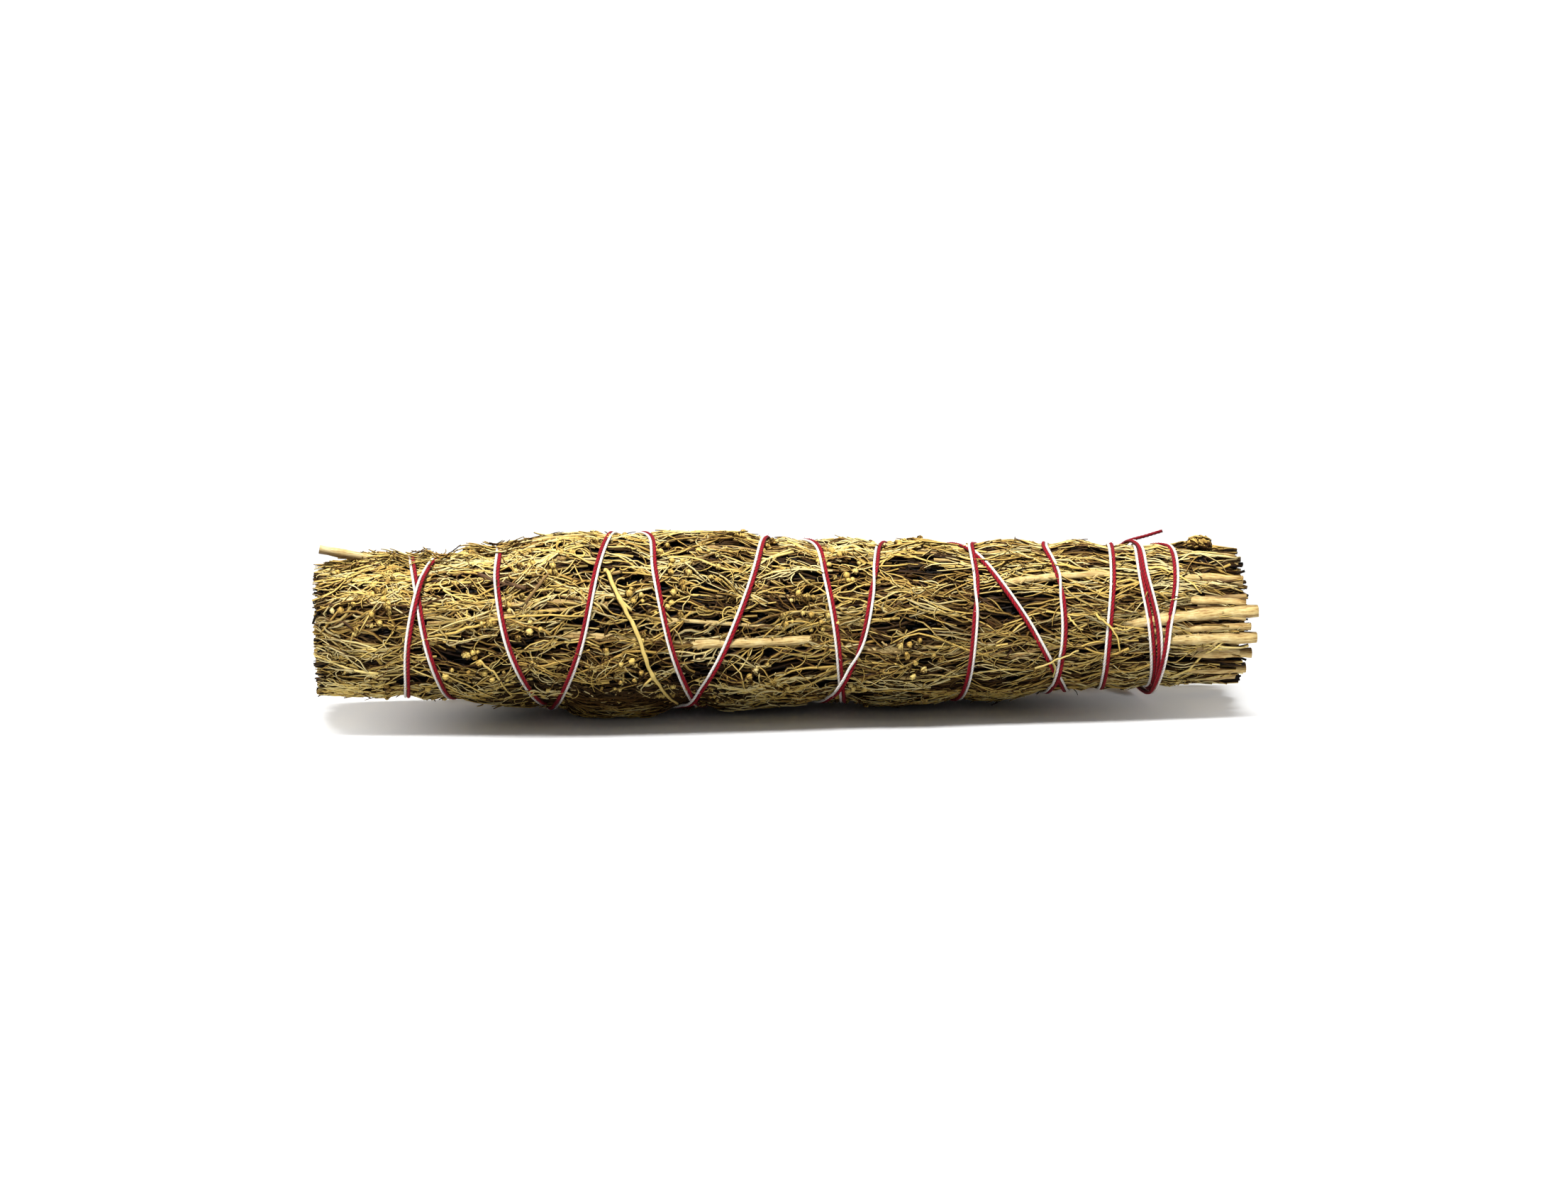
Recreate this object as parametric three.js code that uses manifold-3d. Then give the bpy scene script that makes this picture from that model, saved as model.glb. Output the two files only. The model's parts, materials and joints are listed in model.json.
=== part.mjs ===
// A dried bundle of desert sage bound with a crimson and an off-white cotton thread.
// Millimetres, +Z up. X runs along the bundle, from the leafy tips at -X to the cut stems at +X.
// The origin is under the middle of the bundle, on the surface that it lies on.
import * as THREE from "three";
import { mergeVertices } from "three/addons/utils/BufferGeometryUtils.js";
import Module from "manifold-3d";

const wasm = await Module();
wasm.setup();

// The bundle's outline, from the tips to the butt: place along the bundle, underside, top.
const X = 0;
const UNDERSIDE = 1;
const TOP = 2;
const OUTLINE = [
  [-109, 5.6, 33.8],
  [-92, 3.9, 37.5],
  [-77, 3.0, 37.9],
  [-65, 1.9, 40.1],
  [-54, 1.0, 42.0],
  [-42, 0, 42.4],
  [-30, 0, 42.2],
  [-8, 0.2, 41.1],
  [5, 0.5, 39.9],
  [32, 0, 38.6],
  [47, 0.7, 38.2],
  [60, 1.5, 38.2],
  [80, 2.5, 37.5],
  [100, 2.8, 37.0],
  [109, 2.9, 35.8],
];
const TIP_END = -109;
const FURTHEST_BACK_END = 105.5;
const WIDENING = 1.02;
const LEAF_DEPTH = 1.0;
const FLATTENING = 0.5;
const FLAT_SPREAD = 0.45;
const GAP = 0.3;
const FLOOR_ROOM = 0.9;
const CLEAR_GAP = 0.24;
const SLIVER = 0.02;
const WELD = 1e-4;
const DEGREE = Math.PI / 180;
const UNDER = -Math.PI / 2;

// The sprigs: a ring of them outside, and a few packed in the middle.
const OUTER_SPRIGS = 10;
const INNER_SPRIGS = 4;
const INNER_SHARE = 0.5;
const INNER_GAP = 1.1;
const SECTOR = (2 * Math.PI) / OUTER_SPRIGS;
const SEAM_WANDER = 2.6 * DEGREE;
const SEAM_WAVE = 19;
const SEAM_PHASE = 2.4;
const END_STATION = 6;
const INNER_ARCS = 4;
const INNER_GROOVE = 0.5;
const RIDGES = 5;
const RIDGE_DEPTH = 1.3;
const RIDGE_ROUGHNESS = 0.5;
const RIDGE_WANDER = 0.42;
const NEEDLE_RADIUS = 0.42;
const NEEDLE_RISE = 1.6;
const NEEDLE_REACH = [7, 17];
const NEEDLE_ROOT_LIFT = -1.3;
const NEEDLE_BEND_LIFT = [0.42, 0.75];
const NEEDLE_TIP_LIFT = [0.7, 1.6];
const NEEDLE_SLANT = 0.26;
const STRAY_SLANT = 0.6;
const STRAY_SHARE = 0.2;
const BACKWARD_REACH = -0.6;
const NEEDLES = 20;
const NEEDLE_TRIES = 60;
const BUDS = 5;
const BUD_TRIES = 40;
const BUD_RADIUS = 0.95;
const BUD_LIFT = 0.25;
const BUD_REACH = 35;
const END_TWIGS = 4;
const END_TWIG_ROOT = 3;
const END_TWIG_REACH = [0.45, 1];
const END_TWIG_RADIUS = [0.6, 0.8];
const END_TWIG_TAPER = 0.85;
const END_LEAF_TAPER = 0.6;
const END_MARGIN = 1.1;
const END_SPREAD = 0.04;
const OUTER_END_DEPTH = [1.4, 5.5];
const OUTER_END_REACH = 3.8;
const INNER_END_SHARES = [0.72, 0.86];
const INNER_END_REACH = 4.3;
const INNER_END_FIRST = 0.24;
const INNER_END_STEP = 0.17;
const INNER_END_SPREAD = 0.02;

// Woody stems that reach the butt: outer sprig, angle round the bundle, end, radius.
const BUTT_STEMS = [
  [0, -88, 105.6, 1.2],
  [1, -64, 106.2, 1.1],
  [1, -46, 108.1, 1.3],
  [2, -25, 108.8, 1.2],
  [3, 26, 107.2, 1.0],
  [4, 47, 107.0, 1.3],
  [5, 84, 106.4, 1.35],
  [6, 122, 108.4, 1.5],
  [7, 160, 107.1, 1.2],
  [8, 196, 109.0, 1.45],
  [9, 236, 107.6, 1.25],
];
const BUTT_STEM_ROOT = 10;
const BUTT_STEM_DEPTH = 0.7;
const BUTT_STEM_RISE = 0.2;
const BUTT_STEM_LEAN = 0.012;
// Bare stretches of stem pressed into the outside: outer sprig, angles at both ends, start, end,
// radius.
const SURFACE_STEMS = [
  [2, -9, -6, 84, 109.7, 1.35],
  [2, -9, -4.5, -24, 6, 1.15],
  [3, 7.3, 18, 82, 110, 1.45],
  [4, 43, 51, 49, 78, 1.0],
  [5, 97, 97, -62, -36, 1.0],
  [6, 131, 131, 8, 36, 1.15],
  [7, 165, 165, -46, -20, 1.05],
  [8, 190, 190, 14, 38, 1.1],
  [9, 228, 228, -78, -54, 1.0],
];
const STEM_PIECE = 11;
const STEM_SEAT = -1.02;
const STEM_DIP = -2.2;
const STEM_SWAY = 0.3;
const STEM_SWAY_PHASE = 0.9;
const STEM_SWELL = 0.05;
const STEM_SWELL_PHASE = 2.3;
const INNER_STEM = { start: 88, end: 107, share: 0.72, radii: [1.3, 1.4, 1.4] };
const TIP_STEM = { angle: 84 * DEGREE, start: -88, end: -107.6, radius: 1.0, rise: 6.8 };
const TIP_STEM_SHARES = [0.9, 1, 1, 0.9];
const TIP_STEM_LEAN = 0.03;
const BARK_KNOT = { angle: 86 * DEGREE, x: 98.2, size: [3.1, 2.0, 1.6], lift: 1.2, lumps: 0.16 };
const REST_PADS = [
  { x: -40, length: 18, width: 9 },
  { x: 28, length: 15, width: 8.6 },
];
const PAD_CENTRE = 1.45;
const PAD_DEPTH = 3.0;

// The broken twig that lies slantwise across the front, by place and angle.
const TWIG_ROUTE = [
  [-42.0, 46],
  [-41.1, 44],
  [-39.4, 31],
  [-37.4, 19],
  [-35.2, 8],
  [-33.4, -8],
  [-31.9, -20],
  [-30.2, -31],
  [-27.6, -45],
  [-25.4, -56],
];
const TWIG_RADIUS = 0.6;
const TWIG_TAPER = 0.04;
// The stumps of its side twigs: station of the route, how far they reach along the bundle.
const TWIG_STUMPS = [
  [3, 2.6],
  [6, -2.2],
];
const STUMP_RADII = [0.42, 0.34];
const STUMP_LEAN = 7;

// The two threads, laid side by side: where each turn is on top, on the upper front, in front, on
// the lower front, underneath and, for two of them, on the back.
const THREAD_RADIUS = 0.36;
const THREAD_SPACING = 0.8;
const PAIR_WIDTH = 1.65;
const THREAD_STEP = 18;
const LAYER = 0.84;
const TURN_SHARES = [0, 1 / 8, 1 / 4, 3 / 8, 1 / 2, 3 / 4];
const TURNS = [
  [91.2, 91.2, 88.7, 86.9, 85.6, 79.6],
  [77.3, 76.2, 74.7, 74.3, 74.0],
  [61.8, 63.5, 64.2, 62.6, 60.4],
  [44.4, 44.2, 43.2, 41.8, 39.3],
  [22.9, 20.4, 17.3, 11.3, 7.0],
  [-4.3, -7.6, -13.7, -20.9, -27.5],
  [-40.1, -43.9, -47.4, -52.0, -55.4],
  [-80.3, -84.6, -87.4, -87.9, -88.1],
  [-86.5, -85.3, -83.3, -79.8, -76.6],
  [-66.3, -66.8, -64.8, -59.4, -53.6],
  [-31.3, -30.4, -27.6, -22.7, -17.9],
  [7.1, 9.2, 11.3, 12.8, 15.2],
  [42.3, 49.4, 57.7, 64.2, 67.7, 75.4],
  [83.5, 84.1, 86.5, 87.0, 86.6],
  [83.4, 82.9, 84.6, 85.8, 85.4, 81.2],
];
const THREAD_START = { turn: -1 / THREAD_STEP, x: 88.2 };
const THREAD_END = { turn: 15 - 2.5 / THREAD_STEP, x: 80.9 };
const KNOT_LIFT = 0.95;
const KNOT_EASE = 0.22;
const KNOT_PITCH = 0.9;
const KNOT_TURNS = 1.25;
const KNOT_STEPS = 11;
const KNOT_START = -1.4;
const WHITE_END = 1.8;
// How a stretch of thread is searched for crossings, in steps to either side of a corner.
const CROSSING_REACH = 0.8;
const CROSSING_STEP = 0.1;
const CROSSING_CORE = 0.21;
const CROSSING_ROOM = 0.08;
// How far the tail of the crimson thread lies aside of the knot, and over it.
const TAIL = [
  [1.6, 3.4],
  [4.2, 5.0],
  [8.1, 6.2],
  [12.3, 7.7],
];

const COLOURS = {
  sage: [0x8a7442, 0x7b6c3a, 0x94804a, 0x857040],
  innerSage: 0x6f5c34,
  twig: 0xcaa869,
  crimson: 0xae1226,
  offWhite: 0xebe5d9,
};
const ASIDE = new THREE.Vector3(0, 0.31, 0.95);
const SAGE_ROUGHNESS = 0.85;
const COTTON_ROUGHNESS = 0.75;

// Repeatable draws between 0 and 1.
let drawState = 31177;
function draw() {
  drawState = (drawState * 1664525 + 1013904223) % 4294967296;
  return drawState / 4294967296;
}
const between = (low, high) => low + (high - low) * draw();

// A smooth curve through the stations of a list, read at a place.
function valueAt(list, place, column) {
  const last = list.length - 1;
  if (place <= list[0][X]) return list[0][column];
  if (place >= list[last][X]) return list[last][column];
  const i = list.findIndex((row) => row[X] > place) - 1;
  const slope = (j) => {
    const before = list[Math.max(j - 1, 0)];
    const after = list[Math.min(j + 1, last)];
    return (after[column] - before[column]) / (after[X] - before[X]);
  };
  const span = list[i + 1][X] - list[i][X];
  const t = (place - list[i][X]) / span;
  const rise = 3 * t * t - 2 * t * t * t;
  const leave = t * (1 - t) * (1 - t) * slope(i) * span;
  const arrive = t * t * (t - 1) * slope(i + 1) * span;
  return list[i][column] * (1 - rise) + list[i + 1][column] * rise + leave + arrive;
}

function radiusAt(x) {
  return (valueAt(OUTLINE, x, TOP) - valueAt(OUTLINE, x, UNDERSIDE)) / 2;
}

// A point of the bundle by its place, its angle (0 in front, 90 degrees on top) and its height
// over the surface that the threads press down to.
function bundlePoint(x, angle, lift) {
  const centre = (valueAt(OUTLINE, x, TOP) + valueAt(OUTLINE, x, UNDERSIDE)) / 2;
  const fromUnder = Math.atan2(Math.sin(angle - UNDER), Math.cos(angle - UNDER));
  const flat = FLATTENING * Math.exp(-((fromUnder / FLAT_SPREAD) ** 2));
  const across = radiusAt(x) * WIDENING - LEAF_DEPTH + lift;
  const upright = radiusAt(x) - LEAF_DEPTH - flat + lift;
  return new THREE.Vector3(x, -across * Math.cos(angle), centre + upright * Math.sin(angle));
}

// The seam between one outer sprig and the next.
function seamAngle(seam, x) {
  const wave = Math.sin(x / SEAM_WAVE + SEAM_PHASE * (seam % OUTER_SPRIGS));
  return UNDER + (seam - 0.5) * SECTOR + SEAM_WANDER * wave;
}

function toSolid(geometry) {
  const bare = geometry.index ? geometry.toNonIndexed() : geometry.clone();
  bare.deleteAttribute("normal");
  bare.deleteAttribute("uv");
  const merged = mergeVertices(bare, WELD);
  return new wasm.Manifold(
    new wasm.Mesh({
      numProp: 3,
      vertProperties: merged.attributes.position.array,
      triVerts: new Uint32Array(merged.index.array),
    }),
  );
}

// The largest body of a solid, as a geometry, without the loose scraps and slivers of a join.
function toGeometry(solid) {
  const bodies = solid.decompose().sort((a, b) => b.volume() - a.volume());
  const mesh = bodies[0].simplify(SLIVER).getMesh();
  const geometry = new THREE.BufferGeometry();
  geometry.setAttribute("position", new THREE.BufferAttribute(mesh.vertProperties, 3));
  geometry.setIndex(new THREE.BufferAttribute(mesh.triVerts, 1));
  geometry.computeVertexNormals();
  return geometry;
}

// A closed body through rings of points that advance along +X, with flat ends.
function loftGeometry(rings) {
  const flatten = (ring) => ring.map((p) => new THREE.Vector2(p.y, p.z));
  if (THREE.ShapeUtils.area(flatten(rings[0])) < 0) rings.forEach((ring) => ring.reverse());
  const around = rings[0].length;
  const corners = [];
  const put = (a, b, c) => corners.push(a, b, c);
  for (let i = 0; i + 1 < rings.length; i++) {
    for (let j = 0; j < around; j++) {
      const next = (j + 1) % around;
      put(rings[i][j], rings[i][next], rings[i + 1][j]);
      put(rings[i][next], rings[i + 1][next], rings[i + 1][j]);
    }
  }
  for (const ring of [rings[0], rings.at(-1)]) {
    const outline = flatten(ring);
    for (const face of THREE.ShapeUtils.triangulateShape(outline, [])) {
      const faces = THREE.ShapeUtils.area(face.map((corner) => outline[corner])) > 0 ? 1 : -1;
      if (ring === rings[0] ? faces > 0 : faces < 0) face.reverse();
      put(...face.map((corner) => ring[corner]));
    }
  }
  return new THREE.BufferGeometry().setFromPoints(corners);
}

// A tapering round strand along points. A last radius of nothing gives it a sharp tip.
function strandGeometry(points, radii, sides) {
  const segments = points.length - 1;
  const top = radii[segments] === 0 ? 0 : 1;
  const geometry = new THREE.CylinderGeometry(top, 1, segments, sides, segments);
  const place = geometry.attributes.position;
  const frames = points.map((point, i) => {
    const before = points[Math.max(i - 1, 0)];
    const after = points[Math.min(i + 1, segments)];
    const along = after.clone().sub(before).normalize();
    const side = ASIDE.clone().cross(along).normalize();
    return { point, side, other: side.clone().cross(along) };
  });
  for (let i = 0; i < place.count; i++) {
    const ring = Math.round(place.getY(i) + segments / 2);
    const { point, side, other } = frames[ring];
    const moved = point.clone();
    moved.addScaledVector(side, place.getX(i) * radii[ring]);
    moved.addScaledVector(other, place.getZ(i) * radii[ring]);
    place.setXYZ(i, moved.x, moved.y, moved.z);
  }
  return geometry;
}

// A path that keeps to its own points, for a tube that bends exactly there.
class PointPath extends THREE.Curve {
  constructor(points) {
    super();
    this.points = points;
  }
  getPoint(t, target = new THREE.Vector3()) {
    const last = this.points.length - 1;
    const i = Math.min(Math.floor(t * last + 1e-9), last - 1);
    return target.lerpVectors(this.points[i], this.points[i + 1], t * last - i);
  }
  getPointAt(t, target) {
    return this.getPoint(t, target);
  }
  getTangentAt(t, target) {
    return this.getTangent(t, target);
  }
}

// Where the middle of the pair of threads runs along the bundle, by turns made so far.
const threadList = [[THREAD_START.turn, THREAD_START.x]];
TURNS.forEach((row, turn) => {
  row.forEach((x, i) => threadList.push([turn + TURN_SHARES[i], x]));
});
threadList.push([THREAD_END.turn, THREAD_END.x]);
const threadX = (turn) => valueAt(threadList, turn, 1);
const threadAngle = (turn) => Math.PI / 2 - 2 * Math.PI * turn;

// Each corner of the threads is lifted over every later stretch of thread that it crosses.
const firstStep = Math.round(THREAD_START.turn * THREAD_STEP);
const lastStep = Math.floor(THREAD_END.turn * THREAD_STEP);
// The middle of a straight stretch between corners dips this far.
const SAG = radiusAt(-40) * (1 - Math.cos(Math.PI / THREAD_STEP));
const THREAD_LIFT = THREAD_RADIUS + SAG + CROSSING_ROOM;
const levels = new Map();
const levelAt = (step) => {
  const low = Math.floor(step);
  const share = step - low;
  return (levels.get(low) ?? 0) * (1 - share) + (levels.get(low + 1) ?? 0) * share;
};
for (let step = lastStep; step >= firstStep; step--) {
  let level = 0;
  for (let near = -CROSSING_REACH; near < CROSSING_REACH + SLIVER; near += CROSSING_STEP) {
    const turn = (step + near) / THREAD_STEP;
    if (turn < THREAD_START.turn || turn > THREAD_END.turn) continue;
    const share = Math.abs(near) < CROSSING_CORE ? 1 - Math.abs(near) : 1;
    for (let under = turn + 1; under < THREAD_END.turn; under += 1) {
      if (Math.abs(threadX(turn) - threadX(under)) < PAIR_WIDTH)
        level = Math.max(level, (levelAt(under * THREAD_STEP) + LAYER) / share);
    }
  }
  levels.set(step, level);
}

// The corners of one thread: side is -1 for the one nearer the tips and 1 for the other.
function threadCorners(side) {
  const corners = [];
  for (let step = firstStep; step <= lastStep + 1; step++) {
    const turn = Math.min(step / THREAD_STEP, THREAD_END.turn);
    const angle = threadAngle(turn);
    const lift = THREAD_LIFT + (levels.get(step) ?? 0);
    const reach = 0.5 / THREAD_STEP;
    const slope = (threadX(turn + reach) - threadX(turn - reach)) / (2 * reach);
    const round = 2 * Math.PI * (radiusAt(threadX(turn)) + lift);
    const length = Math.hypot(round, slope);
    const shiftX = (0.5 * THREAD_SPACING * side * round) / length;
    const shiftAngle = ((0.5 * THREAD_SPACING * side * slope) / length / round) * 2 * Math.PI;
    corners.push(bundlePoint(threadX(turn) + shiftX, angle + shiftAngle, lift));
  }
  return corners;
}

// The off-white thread's end stands a little proud, and the crimson one is knotted round it.
function knottedThreads() {
  const white = threadCorners(-1);
  const red = threadCorners(1);
  const out = bundlePoint(THREAD_END.x, threadAngle(THREAD_END.turn), 1)
    .sub(bundlePoint(THREAD_END.x, threadAngle(THREAD_END.turn), 0))
    .normalize();
  const end = white.at(-1).addScaledVector(out, KNOT_LIFT);
  const along = end.clone().sub(white.at(-2)).normalize();
  white.push(end.clone().addScaledVector(along, WHITE_END));
  const right = new THREE.Vector3(1, 0, 0);
  const above = right.clone().cross(along).normalize();
  if (above.dot(out) < 0) above.negate();
  red.pop();
  const coil = 2 * THREAD_RADIUS + KNOT_EASE;
  for (let i = 0; i <= KNOT_STEPS; i++) {
    const turn = (KNOT_TURNS * i) / KNOT_STEPS;
    const point = end.clone().addScaledVector(along, KNOT_PITCH * turn + KNOT_START);
    point.addScaledVector(right, coil * Math.cos(2 * Math.PI * turn));
    point.addScaledVector(above, coil * Math.sin(2 * Math.PI * turn));
    red.push(point);
  }
  const knot = red.at(-1);
  for (const [aside, rise] of TAIL) {
    red.push(knot.clone().addScaledVector(right, aside).addScaledVector(out, rise));
  }
  return { white, red };
}

function threadGeometry(corners) {
  const section = new THREE.Shape();
  for (let i = 0; i < 4; i++) {
    const angle = (i * Math.PI) / 2;
    const x = THREAD_RADIUS * Math.cos(angle);
    const y = THREAD_RADIUS * Math.sin(angle);
    if (i === 0) section.moveTo(x, y);
    else section.lineTo(x, y);
  }
  section.closePath();
  return new THREE.ExtrudeGeometry(section, {
    steps: corners.length - 1,
    extrudePath: new PointPath(corners),
    bevelEnabled: false,
  });
}

const threads = knottedThreads();
const twigPoints = TWIG_ROUTE.map(([x, angle]) =>
  bundlePoint(x, angle * DEGREE, GAP + TWIG_RADIUS),
);

// Points close along the threads and the twig, which leaves and buds keep clear of.
const obstacles = [];
function addObstacle(points, radius) {
  for (let i = 0; i + 1 < points.length; i++) {
    const pieces = Math.ceil(points[i].distanceTo(points[i + 1]) / 0.5);
    for (let j = 0; j <= pieces; j++) {
      obstacles.push({ at: points[i].clone().lerp(points[i + 1], j / pieces), radius });
    }
  }
}
addObstacle(threads.white, THREAD_RADIUS);
addObstacle(threads.red, THREAD_RADIUS);
addObstacle(twigPoints, TWIG_RADIUS);
obstacles.sort((a, b) => a.at.x - b.at.x);

function isClear(point, radius) {
  const reach = radius + TWIG_RADIUS + GAP;
  if (point.z < radius * FLOOR_ROOM) return false;
  return !obstacles.some(
    ({ at, radius: other }) =>
      Math.abs(at.x - point.x) < reach && at.distanceTo(point) < radius + other + CLEAR_GAP,
  );
}

// Whether a point's angle lies between the two seams of a sprig with room to spare.
function isInside(sprig, x, angle, room) {
  const margin = (room + 0.5 * GAP) / (radiusAt(x) - LEAF_DEPTH - RIDGE_DEPTH);
  return angle > seamAngle(sprig, x) + margin && angle < seamAngle(sprig + 1, x) - margin;
}

// Where a sprig's body has its rings: at its ends and at the outline's stations between them.
function ringPlaces(start, end) {
  const places = OUTLINE.map((row) => row[X]);
  const inside = places.filter((x) => x > start + END_STATION && x < end - END_STATION);
  return [start, ...inside, end];
}

// The packed body of an outer sprig: ridges of pressed leaves outside, flat where it meets others.
function outerCore(sprig, start, end) {
  const rings = [];
  for (const x of ringPlaces(start, end)) {
    const round = radiusAt(x);
    const edge = (0.5 * GAP) / (round - LEAF_DEPTH - RIDGE_DEPTH);
    const low = seamAngle(sprig, x) + edge;
    const high = seamAngle(sprig + 1, x) - edge;
    const ring = [];
    for (let j = 0; j <= 2 * RIDGES; j++) {
      const inner = j > 0 && j < 2 * RIDGES;
      const jog = inner ? between(-RIDGE_WANDER, RIDGE_WANDER) : 0;
      const angle = low + ((high - low) * (j + jog)) / (2 * RIDGES);
      const rough = RIDGE_ROUGHNESS * draw();
      ring.push(bundlePoint(x, angle, j % 2 === 1 ? -rough : rough - RIDGE_DEPTH));
    }
    const depth = -(1 - INNER_SHARE) * round;
    const innerEdge = (0.5 * GAP) / (INNER_SHARE * round - LEAF_DEPTH);
    const innerLow = seamAngle(sprig, x) + innerEdge;
    const innerHigh = seamAngle(sprig + 1, x) - innerEdge;
    ring.push(bundlePoint(x, innerHigh, depth));
    ring.push(bundlePoint(x, innerLow, depth));
    rings.push(ring);
  }
  return toSolid(loftGeometry(rings));
}

// A quarter of the packed middle of the bundle.
function innerCore(sprig, start, end) {
  const rings = [];
  const quarter = (2 * Math.PI) / INNER_SPRIGS;
  const middle = quarter * (sprig + 0.5);
  const outward = new THREE.Vector3(0, -Math.cos(middle), Math.sin(middle));
  for (const x of ringPlaces(start, end)) {
    const depth = -(1 - INNER_SHARE) * radiusAt(x) - INNER_GAP;
    const centre = bundlePoint(x, 0, 0).add(bundlePoint(x, Math.PI, 0)).multiplyScalar(0.5);
    const ring = [centre.addScaledVector(outward, GAP)];
    for (let j = 0; j <= INNER_ARCS; j++) {
      const angle = middle + quarter * (j / INNER_ARCS - 0.5);
      const groove = j % 2 === 1 ? 0 : INNER_GROOVE;
      ring.push(bundlePoint(x, angle, depth - groove).addScaledVector(outward, GAP));
    }
    rings.push(ring);
  }
  return toSolid(loftGeometry(rings));
}

// A leaf that leaves the sprig's body and lies along it, or null where it has no room.
function needle(sprig, x, angle, reach, slant, lifts, radius) {
  const points = [];
  for (let i = 0; i <= 2; i++) {
    const t = i === 1 ? NEEDLE_RISE / Math.abs(reach) : i / 2;
    const bend = slant * reach * (t - 0.25 * t * t);
    const at = x + Math.cos(slant) * reach * t;
    const turned = angle + bend / radiusAt(at);
    points.push(bundlePoint(at, turned, lifts[i]));
    if (i > 0 && !isInside(sprig, at, turned, radius)) return null;
  }
  const rootInside = isInside(sprig, x, angle, radius);
  for (let t = 0; t <= 1.001; t += 0.125) {
    if (!isClear(points[1].clone().lerp(points[2], t), radius)) return null;
  }
  return rootInside ? toSolid(strandGeometry(points, [radius, 0.9 * radius, 0], 3)) : null;
}

function leafySurface(core, sprig, start, end) {
  let body = core;
  let made = 0;
  for (let tries = 0; made < NEEDLES && tries < NEEDLE_TRIES * NEEDLES; tries++) {
    const share = (made + draw()) / NEEDLES;
    const x = start + 4 + share * (end - start - 6);
    const low = seamAngle(sprig, x);
    const angle = between(low, low + SECTOR);
    const steep = draw() < STRAY_SHARE ? STRAY_SLANT : NEEDLE_SLANT;
    const slant = between(-steep, steep);
    const reach = -between(...NEEDLE_REACH) * (draw() < STRAY_SHARE ? BACKWARD_REACH : 1);
    if (x + reach < TIP_END + 0.5 || x + reach > FURTHEST_BACK_END) continue;
    const lifts = [NEEDLE_ROOT_LIFT, between(...NEEDLE_BEND_LIFT), between(...NEEDLE_TIP_LIFT)];
    const leaf = needle(sprig, x, angle, reach, slant, lifts, NEEDLE_RADIUS);
    if (!leaf) continue;
    body = body.add(leaf);
    made += 1;
  }
  let buds = 0;
  for (let tries = 0; buds < BUDS && tries < BUD_TRIES * BUDS; tries++) {
    const x = between(start + 5, BUD_REACH);
    const low = seamAngle(sprig, x);
    const angle = between(low, low + SECTOR);
    const radius = between(0.8, 1) * BUD_RADIUS;
    const at = bundlePoint(x, angle, BUD_LIFT);
    if (!isInside(sprig, x, angle, radius) || !isClear(at, radius)) continue;
    const bud = new THREE.OctahedronGeometry(radius);
    bud.rotateX(between(0, 3)).rotateZ(between(0, 3));
    bud.translate(at.x, at.y, at.z);
    body = body.add(toSolid(bud));
    buds += 1;
  }
  return body;
}

// A woody stem along an outer sprig, its crest level with the pressed surface. Its ends dip in.
function surfaceStem(first, last, start, end, radius) {
  const points = [];
  const radii = [];
  const pieces = Math.max(2, Math.round((end - start) / STEM_PIECE));
  for (let i = 0; i <= pieces; i++) {
    const x = start + ((end - start) * i) / pieces;
    const dips = i === 0 || (i === pieces && end < FURTHEST_BACK_END);
    const depth = (dips ? STEM_DIP : STEM_SEAT) * radius;
    const angle = (first + ((last - first) * i) / pieces) * DEGREE;
    const sway = STEM_SWAY * Math.sin(STEM_SWAY_PHASE * i + first);
    points.push(bundlePoint(x, angle + sway / radiusAt(x), depth));
    radii.push(radius * (1 + STEM_SWELL * Math.sin(STEM_SWELL_PHASE * i)));
  }
  return toSolid(strandGeometry(points, radii, 6));
}

// A woody stem that shows only where it leaves the butt.
function buttStem(angleDegrees, end, radius) {
  const points = [];
  for (let i = 0; i <= 2; i++) {
    const x = end - BUTT_STEM_ROOT * (1 - i / 2);
    const angle = angleDegrees * DEGREE + BUTT_STEM_LEAN * i;
    points.push(bundlePoint(x, angle, BUTT_STEM_RISE * i - radius - BUTT_STEM_DEPTH));
  }
  return toSolid(strandGeometry(points, [0.94 * radius, radius, 0.97 * radius], 7));
}

// Twigs and leaf ends that stick out of an end of a sprig, from the angles and depths given.
function endTwigs(body, x, reach, count, place) {
  let whole = body;
  for (let i = 0; i < count; i++) {
    const { angle, depth, margin } = place(i);
    const thick = i % 3 === 0;
    const radius = thick ? between(...END_TWIG_RADIUS) : NEEDLE_RADIUS;
    const inward = -Math.sign(reach);
    const root = bundlePoint(x + END_TWIG_ROOT * inward, angle, depth);
    const to = x + reach * between(...END_TWIG_REACH);
    const tip = bundlePoint(to, angle + between(-1, 1) * margin, depth);
    const radii = [radius, (thick ? END_TWIG_TAPER : END_LEAF_TAPER) * radius];
    whole = whole.add(toSolid(strandGeometry([root, tip], radii, thick ? 5 : 3)));
  }
  return whole;
}

function restPad({ x, length, width }) {
  const pad = new THREE.SphereGeometry(1, 10, 6);
  pad.scale(length / 2, width / 2, PAD_DEPTH);
  pad.translate(x, 0, PAD_CENTRE);
  const place = pad.attributes.position;
  for (let i = 0; i < place.count; i++) {
    place.setZ(i, Math.max(place.getZ(i), 0));
  }
  return toSolid(pad);
}

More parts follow.
